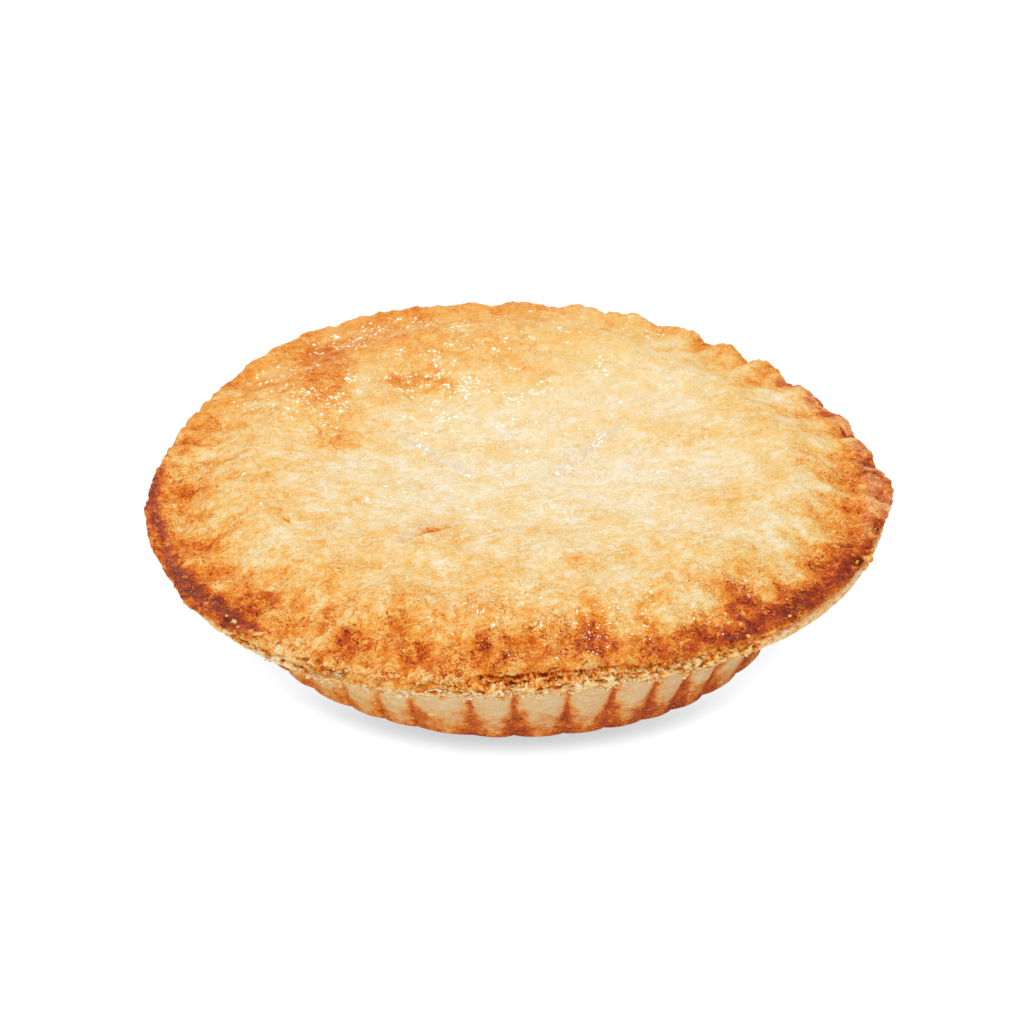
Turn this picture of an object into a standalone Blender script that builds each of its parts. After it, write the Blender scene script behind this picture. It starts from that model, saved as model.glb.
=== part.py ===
"""A cherry pie with a lid, 23 cm across: run with blender --background --python part.py.

Two solids: the bottom crust, fluted by its tin and filled up to the lid, and the lid baked onto it.
Metres, +Z up, origin on the table under the middle of the pie, the side that shows most towards -Y.
"""

import math

import bpy
import numpy as np

MM = 0.001

# The rim, where both crusts are pressed together
RIM_RADIUS = 115 * MM
RIM_SHIFT = (-0.4 * MM, 0.5 * MM)  # the lid lies a little off the middle of the tin
RIM_LOBE = 3.5 * MM  # the rim is a little three-cornered
RIM_LOBE_TURN = math.radians(46.5)
RIM_RIPPLE = 0.9 * MM
RIM_RIPPLE_TURN = math.radians(28)
RIM_SAG = 0.2 * MM
EDGE_CRAGS = 0.55 * MM
SEAM_HEIGHT = 35 * MM  # where the lid lies on the bottom crust
SEAM_GAP = 0.3 * MM
# Both crusts meet on these rings, so their facets run parallel
SEAM_RINGS = (0, 34 * MM, 60 * MM, 79 * MM, 91 * MM, 101 * MM, 110 * MM)

# The lid
LID_THICKNESS = 3.4 * MM
DOME_HEIGHT = 7.8 * MM
DOME_SHOULDER = 27 * MM  # the width over which the lid climbs from the rim
SLUMP_DEPTH = 7.6 * MM  # the middle has sunk
SLUMP_CENTRE = (-1 * MM, 9 * MM)
SLUMP_RADII = (62 * MM, 50 * MM)
LUMP_HEIGHT = 0.55 * MM  # cherries that press up from below
LUMP_LENGTHS = (22 * MM, 46 * MM)
DOME_FOOT = 106.5 * MM
FRONT_FOOT = 5.5 * MM  # in front the dome runs on almost to the edge
GUTTER_INSET = 4.2 * MM  # the crease between the dome and the lip of the rim
GUTTER_WIDTH = 2.2 * MM
GUTTER_DEPTH = 1.4 * MM
CRIMPS = 36
CRIMP_OUT = 1.3 * MM
CRIMP_UP = 1.1 * MM
CRIMP_REACH = 9 * MM

# Where the lid has shrunk back from the edge of the bottom crust in baking, and where it has
# rolled down over it: the middle and half the width of each stretch in degrees, and how far
SHRINKS = ((275, 20, 5 * MM), (301, 16, 2.2 * MM))
SHRINK_REACH = 16 * MM
LIFT = 1.1 * MM
ROLL = (250, 17, 1.6 * MM)

# The vents: outer end, inner end, width, depth of the cut, depth of the dip round it
VENTS = (
    ((-36 * MM, 19 * MM), (-11 * MM, -11 * MM), 2.6 * MM, 2.1 * MM, 1.5 * MM),
    ((37 * MM, 28 * MM), (14 * MM, -4 * MM), 2.6 * MM, 2.1 * MM, 1.5 * MM),
    ((-37 * MM, -50 * MM), (-18 * MM, -33 * MM), 3.2 * MM, 2.4 * MM, 0.9 * MM),
)
DIP_WIDTH = 8 * MM

# The bottom crust, as its fluted tin shaped it
FLUTES = 42
STEPS = 4 * FLUTES
FLUTE_DEPTH = 2 * MM
FLUTE_SHARE_AT_FOOT = 0.6
WALL_TOP = 29 * MM
WALL_TOP_RADIUS = 101 * MM
FOOT_RADIUS = 89.1 * MM
FOOT_ROUNDING = 3 * MM
FLANGE_THICKNESS = 3.3 * MM
FRONT_GROOVE = math.radians(270.2)
# How far the grooves in front stand from even spacing, counted from the front groove
GROOVE_SHIFTS_DEG = {-3: -0.3, -2: -2.0, -1: 0.8, 1: 1.1, 2: 0.6, 3: -0.1, 4: -1.9, 5: -2.6}
OTHER_SHIFT_DEG = 1
SEED = 7

PALE_CRUST = (0.80, 0.55, 0.30, 1)
BROWN_CRUST = (0.78, 0.42, 0.14, 1)


def smooth_step(low, high, value):
    """0 below low, 1 above high, and a smooth S between them."""
    share = np.clip((value - low) / (high - low), 0, 1)
    return share * share * (3 - 2 * share)


def facing(angle, middle_deg, half_width_deg, flat=0):
    """1 at the middle direction and over the flat share, falling to 0 at half_width on either side."""
    turned = np.abs((angle - math.radians(middle_deg) + math.pi) % (2 * math.pi) - math.pi)
    half_width = math.radians(half_width_deg)
    return 1 - smooth_step(flat * half_width, half_width, turned)


def rim_lobes(angle):
    """How far the outline of the rim leaves a circle: a shift, three soft corners and a ripple."""
    return (
        RIM_SHIFT[0] * np.cos(angle)
        + RIM_SHIFT[1] * np.sin(angle)
        + RIM_LOBE * np.cos(3 * angle + RIM_LOBE_TURN)
        + RIM_RIPPLE * np.sin(6 * angle + RIM_RIPPLE_TURN)
    )


def rim_sag(angle):
    """How far the rim rises and falls as it goes round."""
    return RIM_SAG * np.sin(2 * angle + 0.6)


def crags(angle, seed):
    """A ragged edge: waves of 14 to 60 to the turn with random phases, from about -1 to 1."""
    random = np.random.default_rng(seed)
    total = np.zeros_like(angle)
    for waves in range(14, 61, 3):
        total += np.cos(waves * angle + random.uniform(0, 2 * math.pi))
    return total / 4


def crimp_wave(angle):
    """Pinched bumps round the rim, from -0.5 in the pits to 0.5, strongest at the back right."""
    strength = 0.25 + 0.75 * facing(angle, 35, 75)
    return strength * (np.abs(np.cos(CRIMPS / 2 * angle)) - 0.5)


def shrink(angle):
    """How far the lid has drawn back from the edge of the bottom crust."""
    return sum(far * facing(angle, middle, half, 0.4) for middle, half, far in SHRINKS)


def roll(angle):
    """How far the lid's edge has rolled down over the bottom crust's."""
    return ROLL[2] * facing(angle, ROLL[0], ROLL[1], 0.4)


def lumps(x, y):
    """Soft swells of the lid: eight plane waves in random directions, from about -1 to 1."""
    random = np.random.default_rng(SEED)
    total = np.zeros_like(x)
    for _ in range(8):
        heading, phase = random.uniform(0, 2 * math.pi, 2)
        along = x * math.cos(heading) + y * math.sin(heading)
        total += np.cos(2 * math.pi * along / random.uniform(*LUMP_LENGTHS) + phase)
    return total / 3


def seam_height(x, y):
    """The surface where the crusts meet: level at the rim, domed inside it, sunk in the middle."""
    radius, angle = np.hypot(x, y), np.arctan2(y, x)
    reach = 1 + rim_lobes(angle) / RIM_RADIUS
    foot_of_dome = (DOME_FOOT + FRONT_FOOT * facing(angle, 268, 62)) * reach
    dome = DOME_HEIGHT * smooth_step(0, DOME_SHOULDER, foot_of_dome - radius)
    slump = np.exp(
        -(((x - SLUMP_CENTRE[0]) / SLUMP_RADII[0]) ** 2)
        - ((y - SLUMP_CENTRE[1]) / SLUMP_RADII[1]) ** 2
    )
    inside = smooth_step(2 * MM, 30 * MM, foot_of_dome - radius)
    soft_form = inside * (LUMP_HEIGHT * lumps(x, y) - SLUMP_DEPTH * slump)
    return SEAM_HEIGHT + rim_sag(angle) + dome + soft_form


def vent_line(outer, inner):
    """The middle of a vent and the vector from there to its outer end."""
    outer, inner = np.array(outer), np.array(inner)
    return (outer + inner) / 2, (outer - inner) / 2


def lid_relief(x, y):
    """What the lid's top adds to the seam's form: gutter, crimps and the dips round the vents."""
    radius, angle = np.hypot(x, y), np.arctan2(y, x)
    from_rim = radius - RIM_RADIUS - rim_lobes(angle)
    sides = np.maximum(facing(angle, 207, 48, 0.4), facing(angle, 327, 45, 0.4))
    front = facing(angle, 265, 45, 0.5)
    gutter = np.exp(-(((from_rim + GUTTER_INSET) / GUTTER_WIDTH) ** 2))
    relief = -GUTTER_DEPTH * gutter * (0.3 + 0.7 * sides - 0.3 * front)
    relief += CRIMP_UP * crimp_wave(angle) * smooth_step(-CRIMP_REACH, -1 * MM, from_rim)
    for outer, inner, _, _, dip in VENTS:
        middle, half = vent_line(outer, inner)
        reach = np.hypot(*half)
        across = ((y - middle[1]) * half[0] - (x - middle[0]) * half[1]) / reach
        along = ((x - middle[0]) * half[0] + (y - middle[1]) * half[1]) / reach**2
        relief -= dip * np.exp(-((across / DIP_WIDTH) ** 2) - np.maximum(np.abs(along), 0.6) ** 4)
    return relief


def turned(name, profile):
    """A closed profile of radius and height turned round Z by a Screw modifier, as a mesh object."""
    mesh = bpy.data.meshes.new(name)
    points = [(radius, 0, height) for radius, height in profile]
    mesh.from_pydata(points, [(i, i + 1) for i in range(len(points) - 1)], [])
    blank = bpy.data.objects.new(name + "_profile", mesh)
    bpy.context.scene.collection.objects.link(blank)
    screw = blank.modifiers.new("Turn", "SCREW")
    screw.steps = screw.render_steps = STEPS
    screw.use_merge_vertices = True
    screw.merge_threshold = 0.01 * MM
    graph = bpy.context.evaluated_depsgraph_get()
    made = bpy.data.objects.new(name, bpy.data.meshes.new_from_object(blank.evaluated_get(graph)))
    bpy.data.objects.remove(blank)
    return made


def polar_vertices(piece):
    """Radius, angle and height of the vertices of a turned piece."""
    flat = np.empty(len(piece.data.vertices) * 3)
    piece.data.vertices.foreach_get("co", flat)
    x, y, z = flat.reshape(-1, 3).T
    return np.hypot(x, y), np.arctan2(y, x), z


def set_polar(piece, radius, angle, height):
    """Puts the vertices of a piece at new radii and angles, and at the height that a function gives."""
    x, y = radius * np.cos(angle), radius * np.sin(angle)
    points = np.column_stack((x, y, height(x, y))).astype(np.float32)
    piece.data.vertices.foreach_set("co", points.ravel())
    piece.data.update()


def even_grooves(even_angle):
    """Moves evenly spaced grooves to where they stand, and all between them in proportion."""
    random = np.random.default_rng(SEED)
    shifts = random.uniform(-OTHER_SHIFT_DEG, OTHER_SHIFT_DEG, FLUTES)
    shifts[0] = 0
    for groove, shift in GROOVE_SHIFTS_DEG.items():
        shifts[groove % FLUTES] = shift
    place = even_angle / (2 * math.pi) * FLUTES
    shift = np.interp(place % FLUTES, np.arange(FLUTES + 1), [*shifts, shifts[0]])
    return even_angle + FRONT_GROOVE + np.radians(shift)


def outlined(radius, angle):
    """Radius pushed out to the rim's outline: not at all inside, wholly at the rim."""
    return radius + rim_lobes(angle) * smooth_step(60 * MM, 110 * MM, radius)


def drawn_in(radius, angle):
    """Radius pulled in with the shrunk lid, from nothing at the reach of the shrinking on."""
    start = RIM_RADIUS - SHRINK_REACH
    return radius - shrink(angle) * smooth_step(start, RIM_RADIUS, radius)


def crust_material(name, colour, roughness):
    """Baked pastry: one colour, hardly any gloss."""
    material = bpy.data.materials.new(name)
    material.use_nodes = True
    shader = material.node_tree.nodes["Principled BSDF"]
    shader.inputs["Base Color"].default_value = colour
    shader.inputs["Roughness"].default_value = roughness
    return material


def lid_profile():
    """The lid as a flat plate, height measured from the seam: over the top, round the edge and back."""
    top = [mm * MM for mm in (0, 14, 28, 42, 56, 68, 78, 86.5, 94, 100.5, 106.5, 110, 112.6)]
    edge = [(114.3 * MM, 0.85), (RIM_RADIUS, 0.5), (114.2 * MM, 0.2)]
    return (
        [(radius, LID_THICKNESS) for radius in top]
        + [(radius, share * LID_THICKNESS) for radius, share in edge]
        + [(radius, SEAM_GAP / 2) for radius in reversed(SEAM_RINGS)]
    )


def make_lid():
    """The top crust: a plate bent over the filling and crimped at the rim."""
    lid = turned("lid", lid_profile())
    radius, even_angle, height = polar_vertices(lid)
    angle = even_grooves(even_angle)
    edge_share = smooth_step(111 * MM, 114 * MM, radius)
    outward = CRIMP_OUT * crimp_wave(angle) + EDGE_CRAGS * crags(angle, SEED)
    top_share = smooth_step(0.1, 0.9, height / LID_THICKNESS)
    low_share = 1 - smooth_step(0.5, 1, height / LID_THICKNESS)
    lift = edge_share * (LIFT * shrink(angle) / SHRINKS[0][2] * low_share - roll(angle))
    set_polar(
        lid,
        drawn_in(outlined(radius, angle), angle) + outward * edge_share,
        angle,
        lambda x, y: seam_height(x, y) + height + lift + lid_relief(x, y) * top_share,
    )
    lid.data.materials.append(crust_material("lid_crust", BROWN_CRUST, 0.55))
    return lid


def bottom_profile():
    """The bottom crust turned: along the seam, round the flange, down the wall and under the foot."""
    seam = SEAM_HEIGHT - SEAM_GAP / 2
    flange_low = seam - FLANGE_THICKNESS
    flange = [
        (114 * MM, seam - 0.25 * FLANGE_THICKNESS),
        (114.2 * MM, seam - 0.65 * FLANGE_THICKNESS),
        (112.4 * MM, flange_low),
        (105 * MM, flange_low - 0.8 * MM),
    ]
    wall = [
        (
            FOOT_RADIUS + share * (WALL_TOP_RADIUS - FOOT_RADIUS),
            FOOT_ROUNDING + share * (WALL_TOP - FOOT_ROUNDING),
        )
        for share in (1, 0.7, 0.3, 0)
    ]
    foot = [
        (FOOT_RADIUS - 0.35 * FOOT_ROUNDING, 0.2 * FOOT_ROUNDING),
        (FOOT_RADIUS - 1.1 * FOOT_ROUNDING, 0),
        (0, 0),
    ]
    return [(radius, seam) for radius in SEAM_RINGS] + flange + wall + foot


def make_bottom():
    """The bottom crust, filled to the lid: flat foot, fluted wall, pressed flange."""
    bottom = turned("bottom_crust", bottom_profile())
    radius, even_angle, height = polar_vertices(bottom)
    angle = even_grooves(even_angle)
    on_seam_ring = height > SEAM_HEIGHT - SEAM_GAP
    on_seam = height > SEAM_HEIGHT - 0.3 * FLANGE_THICKNESS
    on_flange = height > WALL_TOP + 1 * MM
    up_the_wall = smooth_step(0, 15 * MM, height)
    under_flange = smooth_step(WALL_TOP - 5 * MM, WALL_TOP + 2 * MM, height)
    depth = FLUTE_DEPTH * (FLUTE_SHARE_AT_FOOT + (1 - FLUTE_SHARE_AT_FOOT) * up_the_wall)
    depth = depth * (1 - 0.8 * under_flange) * smooth_step(80 * MM, 85 * MM, radius)
    scallop = np.abs(np.sin(FLUTES / 2 * even_angle)) ** 0.6 - 1
    fluted = radius + depth * scallop
    edge_share = smooth_step(111 * MM, 114 * MM, radius)
    outward = (EDGE_CRAGS * crags(angle, SEED + 1) - roll(angle)) * edge_share
    rim = outlined(radius, angle) + outward
    rim_lift = rim_sag(angle) * smooth_step(WALL_TOP - 8 * MM, WALL_TOP, height)
    set_polar(
        bottom,
        np.where(on_seam_ring, drawn_in(rim, angle), np.where(on_flange, rim, fluted)),
        angle,
        lambda x, y: height + np.where(on_seam, seam_height(x, y) - SEAM_HEIGHT, rim_lift),
    )
    bottom.data.materials.append(crust_material("bottom_crust", PALE_CRUST, 0.7))
    return bottom


def cut_vents(lid, cutters):
    """Cuts each vent out of the lid with a thin spindle half sunk in its top."""
    for number, (outer, inner, width, depth, _) in enumerate(VENTS):
        middle, half = vent_line(outer, inner)
        x, y = np.array([middle[0]]), np.array([middle[1]])
        surface = (seam_height(x, y) + LID_THICKNESS + lid_relief(x, y))[0]
        bpy.ops.mesh.primitive_uv_sphere_add(
            segments=16,
            ring_count=8,
            location=(*middle, surface + 0.35 * depth),
            rotation=(0, 0, math.atan2(half[1], half[0])),
            scale=(np.hypot(*half), width / 2, 1.35 * depth),
        )
        blade = bpy.context.object
        blade.name = f"vent_blade_{number}"
        blade.hide_render = True
        blade.display_type = "WIRE"
        for collection in blade.users_collection:
            collection.objects.unlink(blade)
        cutters.objects.link(blade)
        cut = lid.modifiers.new(f"Vent {number}", "BOOLEAN")
        cut.operation = "DIFFERENCE"
        cut.object = blade


def main():
    for leftover in list(bpy.data.objects):
        bpy.data.objects.remove(leftover)
    pie = bpy.data.collections.new("cherry_pie")
    cutters = bpy.data.collections.new("cutters")
    bpy.context.scene.collection.children.link(pie)
    bpy.context.scene.collection.children.link(cutters)
    bottom, lid = make_bottom(), make_lid()
    for piece in (bottom, lid):
        pie.objects.link(piece)
        piece.data.shade_smooth()
        piece.data.set_sharp_from_angle(angle=math.radians(50))
    cut_vents(lid, cutters)


main()
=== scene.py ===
"""The looks of a whole cherry pie, turned out of its tin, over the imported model, in metres."""

import math

import bpy
import numpy as np
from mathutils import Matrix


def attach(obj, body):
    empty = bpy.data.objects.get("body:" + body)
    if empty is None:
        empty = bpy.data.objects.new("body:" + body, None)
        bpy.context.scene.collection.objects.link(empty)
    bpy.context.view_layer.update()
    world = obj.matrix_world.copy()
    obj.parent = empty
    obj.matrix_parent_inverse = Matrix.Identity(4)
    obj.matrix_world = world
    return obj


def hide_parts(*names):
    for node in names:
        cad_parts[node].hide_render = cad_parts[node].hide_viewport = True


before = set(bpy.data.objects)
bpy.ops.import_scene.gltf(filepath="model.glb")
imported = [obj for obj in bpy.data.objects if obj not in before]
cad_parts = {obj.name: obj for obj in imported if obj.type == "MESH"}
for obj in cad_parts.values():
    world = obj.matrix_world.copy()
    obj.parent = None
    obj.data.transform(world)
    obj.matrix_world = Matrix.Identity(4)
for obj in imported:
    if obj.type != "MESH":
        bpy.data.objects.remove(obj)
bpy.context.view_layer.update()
MM = 0.001


# ---------------------------------------------------------------------------------------------
# Bottom crust. Shortcrust pastry pressed into a fluted tin, filled with cherries, baked and turned
# out: the wall keeps the flutes, brown in the grooves and at the foot where the tin was hottest,
# the core of each groove and the side just past it darker still with painted shade, and its top
# edge is a ragged flange that the lid is pressed on.

TURN = 2 * math.pi
RIM_RADIUS = 115 * MM
RIM_SHIFT = (-0.4 * MM, 0.5 * MM)
RIM_LOBE, RIM_LOBE_TURN = 3.5 * MM, math.radians(46.5)
RIM_RIPPLE, RIM_RIPPLE_TURN = 0.9 * MM, math.radians(28)
RIM_SAG, RIM_SAG_TURN = 0.2 * MM, 0.6
SEAM_HEIGHT, SEAM_GAP = 35 * MM, 0.3 * MM
DOME_HEIGHT, DOME_SHOULDER = 7.8 * MM, 27 * MM
DOME_FOOT, FRONT_FOOT = 106.5 * MM, 5.5 * MM
SLUMP_DEPTH, SLUMP_CENTRE, SLUMP_RADII = 7.6 * MM, (-1 * MM, 9 * MM), (62 * MM, 50 * MM)
LUMP_HEIGHT, LUMP_LENGTHS, LUMP_SEED = 0.55 * MM, (22 * MM, 46 * MM), 7
# Middle direction and half width in degrees, and how far the lid shrank there, and rolled
SHRINKS = ((275, 20, 5 * MM), (301, 16, 2.2 * MM))
SHRINK_REACH = 16 * MM
ROLL = (250, 17, 1.6 * MM)
FLUTES, COLUMNS_PER_FLUTE, FLUTE_DEPTH, FLUTE_SHARE_AT_FOOT = 42, 20, 2 * MM, 0.6
SHALLOW_GROOVE, SHALLOW_SHARE = 41, 0.45
WALL_TOP, WALL_TOP_RADIUS = 29 * MM, 101 * MM
FOOT_RADIUS, FOOT_ROUNDING = 89.1 * MM, 3 * MM
FLANGE_THICKNESS = 3.3 * MM
FRONT_GROOVE = math.radians(270.2)
# How far some grooves stand from their even places, in degrees, counted from the front one
GROOVE_SHIFTS_DEG = {-3: -0.3, -2: -2.0, -1: 0.8, 1: 1.1, 2: 0.6, 3: -0.1, 4: -1.9, 5: -2.6}
# How the colour of pastry goes with the bake, from raw cream to the purple brown of a burnt rim
BAKE_COLOURS = (
    (0.00, (252, 239, 212)),
    (0.15, (251, 223, 170)),
    (0.30, (250, 202, 120)),
    (0.44, (247, 172, 78)),
    (0.58, (237, 136, 30)),
    (0.72, (214, 95, 10)),
    (0.85, (172, 59, 12)),
    (1.00, (110, 35, 18)),
)
DOUGH_COLOUR, WALL_DOUGH = (238, 216, 196), (229, 203, 166)
SPECK_COLOUR = (150, 92, 48)
YELLOW_TINT = (1, 0.985, 0.76, 1)
# The direction in which the lid's pastry was rolled out, in radians from X
ROLLED_WAY = 0.42


def smooth_step(low, high, value):
    """0 below low, 1 above high, and the S of 3 s squared less 2 s cubed between them."""
    share = np.clip((value - low) / (high - low), 0, 1)
    return share * share * (3 - 2 * share)


def bell(value, width, power=2):
    """The exponential of minus this power of the value over the width."""
    return np.exp(-((value / width) ** power))


def facing(angle, middle_deg, half_width_deg, flat=0):
    """1 at the middle direction and over the flat share, an S down to 0 at half_width."""
    turned = np.abs((angle - math.radians(middle_deg) + math.pi) % TURN - math.pi)
    half_width = math.radians(half_width_deg)
    return 1 - smooth_step(flat * half_width, half_width, turned)


def rim_lobes(angle):
    """How far the rim leaves a circle: cosines of one, three and six turns, added."""
    return (
        RIM_SHIFT[0] * np.cos(angle)
        + RIM_SHIFT[1] * np.sin(angle)
        + RIM_LOBE * np.cos(3 * angle + RIM_LOBE_TURN)
        + RIM_RIPPLE * np.sin(6 * angle + RIM_RIPPLE_TURN)
    )


def shrink(angle):
    """How far the lid has drawn back from the flange: two flat bells in front."""
    return sum(far * facing(angle, middle, half, 0.4) for middle, half, far in SHRINKS)


def roll(angle):
    """How far the lid's edge has rolled down over the flange: one flat bell."""
    return ROLL[2] * facing(angle, ROLL[0], ROLL[1], 0.4)


def outlined(radius, angle):
    """Radius plus the lobes of the rim, which an S brings in from 60 mm to 110 mm."""
    return radius + rim_lobes(angle) * smooth_step(60 * MM, 110 * MM, radius)


def drawn_in(radius, angle):
    """Radius less the lid's shrinking, which an S brings in over its reach."""
    return radius - shrink(angle) * smooth_step(RIM_RADIUS - SHRINK_REACH, RIM_RADIUS, radius)


def lumps(x, y):
    """Cherries under the lid: a third of the sum of eight plane waves in random directions."""
    random = np.random.default_rng(LUMP_SEED)
    total = np.zeros_like(x)
    for _ in range(8):
        heading, phase = random.uniform(0, TURN, 2)
        along = x * math.cos(heading) + y * math.sin(heading)
        total += np.cos(TURN * along / random.uniform(*LUMP_LENGTHS) + phase)
    return total / 3


def seam_height(x, y):
    """Where the crusts meet: the rim's sag, a sine of two turns, plus an S up from the foot of
    the dome, which is pushed out in front, less a bell for the slump, plus the lumps."""
    radius, angle = np.hypot(x, y), np.arctan2(y, x)
    foot = DOME_FOOT + FRONT_FOOT * facing(angle, 268, 62)
    inward = foot * (1 + rim_lobes(angle) / RIM_RADIUS) - radius
    slump = bell(x - SLUMP_CENTRE[0], SLUMP_RADII[0]) * bell(y - SLUMP_CENTRE[1], SLUMP_RADII[1])
    inside = smooth_step(2 * MM, 30 * MM, inward)
    soft_form = inside * (LUMP_HEIGHT * lumps(x, y) - SLUMP_DEPTH * slump)
    dome = DOME_HEIGHT * smooth_step(0, DOME_SHOULDER, inward)
    return SEAM_HEIGHT + RIM_SAG * np.sin(2 * angle + RIM_SAG_TURN) + dome + soft_form


def seam_round(radius, angle):
    """The height of the seam at a radius and an angle round Z."""
    return seam_height(radius * np.cos(angle), radius * np.sin(angle))


MIDDLE_SEAM = float(seam_height(0.0, 0.0))


def even_grooves(even_angle):
    """Angle plus each groove's own shift, in a straight line from one groove to the next."""
    shifts = np.random.default_rng(7).uniform(-1, 1, FLUTES)
    shifts[0] = 0
    for groove, shift in GROOVE_SHIFTS_DEG.items():
        shifts[groove % FLUTES] = shift
    place = even_angle / TURN * FLUTES
    shift = np.interp(place % FLUTES, np.arange(FLUTES + 1), [*shifts, shifts[0]])
    return even_angle + FRONT_GROOVE + np.radians(shift)


def grain(points, size, seed, octaves=1):
    """Gradient noise, about -1 to 1: each corner of a lattice of cells of this size has a random
    slope, and the heights that the eight slopes give are blended by 6 s^5 - 15 s^4 + 10 s^3.
    Each further octave is half as wide and half as high."""
    random = np.random.default_rng(seed)
    deal = random.permutation(256)
    slopes = random.normal(size=(256, 3))
    slopes /= np.linalg.norm(slopes, axis=1, keepdims=True)
    total = np.zeros(points.shape[:-1])
    for octave in range(octaves):
        place = points / size * 2**octave + 31.7 * (octave + seed)
        cell = np.floor(place).astype(int)
        part = place - cell
        blend = part**3 * (part * (part * 6 - 15) + 10)
        for corner in np.ndindex(2, 2, 2):
            i, j, k = np.moveaxis(cell + corner, -1, 0)
            slope = slopes[deal[(deal[(deal[i & 255] + j) & 255] + k) & 255]]
            weight = np.prod(np.where(corner, blend, 1 - blend), axis=-1)
            total += weight * ((part - corner) * slope).sum(-1) / 2**octave
    return 1.6 * total


def walk(corners, step):
    """Points evenly spaced along the straight runs between corners, the last left out."""
    corners = np.array(corners) * MM
    along = np.concatenate(([0], np.cumsum(np.hypot(*np.diff(corners, axis=0).T))))
    at = np.linspace(0, along[-1], max(round(along[-1] / (step * MM)), 1) + 1)[:-1]
    return np.column_stack([np.interp(at, along, corners[:, i]) for i in (0, 1)])


def polar(radius, angle, height):
    """Points at a radius and an angle round Z, and a height."""
    return np.stack((radius * np.cos(angle), radius * np.sin(angle), height), axis=-1)


def swept(outline, columns):
    """The two values of an outline's points, and the angle, at this many columns round Z."""
    angle = np.arange(columns) / columns * TURN
    first, angle = np.meshgrid(outline[:, 0], angle, indexing="ij")
    return first, np.repeat(outline[:, 1:], columns, axis=1), angle


def mesh_piece(name, points, faces, material, **values):
    """A smooth mesh object of these points and faces, with a number per point for each name."""
    mesh = bpy.data.meshes.new(name)
    mesh.from_pydata(np.asarray(points).reshape(-1, 3), [], faces)
    for key, numbers in values.items():
        attribute = mesh.attributes.new(key, "FLOAT", "POINT")
        attribute.data.foreach_set("value", np.asarray(numbers, np.float32).ravel())
    mesh.materials.append(material)
    mesh.shade_smooth()
    piece = bpy.data.objects.new(name, mesh)
    bpy.context.scene.collection.objects.link(piece)
    return piece


def ring_faces(rows, columns, closed_rows=False):
    """Quads between one ring of points and the next, each ring closed on itself."""
    row = np.arange(rows if closed_rows else rows - 1)[:, None]
    column = np.arange(columns)
    here, there = row * columns, (row + 1) % rows * columns
    after = (column + 1) % columns
    quads = np.stack((here + column, there + column, there + after, here + after), axis=-1)
    return quads.reshape(-1, 4).tolist()


def fan_faces(border, pole):
    """Triangles from each point of a closed border over the pole to the border's next point."""
    return np.stack((border, np.full_like(border, pole), np.roll(border, -1)), axis=-1).tolist()


def new_node(tree, kind, values=(), **settings):
    """A node with its settings, its inputs filled by number or name."""
    node = tree.nodes.new(kind)
    for key, value in settings.items():
        setattr(node, key, value)
    for socket, value in dict(values).items():
        if isinstance(value, bpy.types.NodeSocket):
            tree.links.new(value, node.inputs[socket])
        else:
            node.inputs[socket].default_value = value
    return node


def arithmetic(tree, operation, first, second=0.0, third=0.0):
    """The output of a Math node."""
    values = {0: first, 1: second, 2: third}
    return new_node(tree, "ShaderNodeMath", values, operation=operation).outputs[0]


def step_between(tree, value, low, high, to_low=0.0, to_high=1.0):
    """The output of a smooth Map Range node."""
    values = {"Value": value, "From Min": low, "From Max": high}
    values |= {"To Min": to_low, "To Max": to_high}
    smooth = {"interpolation_type": "SMOOTHSTEP"}
    return new_node(tree, "ShaderNodeMapRange", values, **smooth).outputs[0]


def linear(red, green, blue):
    """A colour of 0 to 255 as seen, turned into the linear light that a shader takes."""
    seen = np.array((red, green, blue)) / 255
    light = np.where(seen > 0.04045, ((seen + 0.055) / 1.055) ** 2.4, seen / 12.92)
    return (*light, 1)


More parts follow.
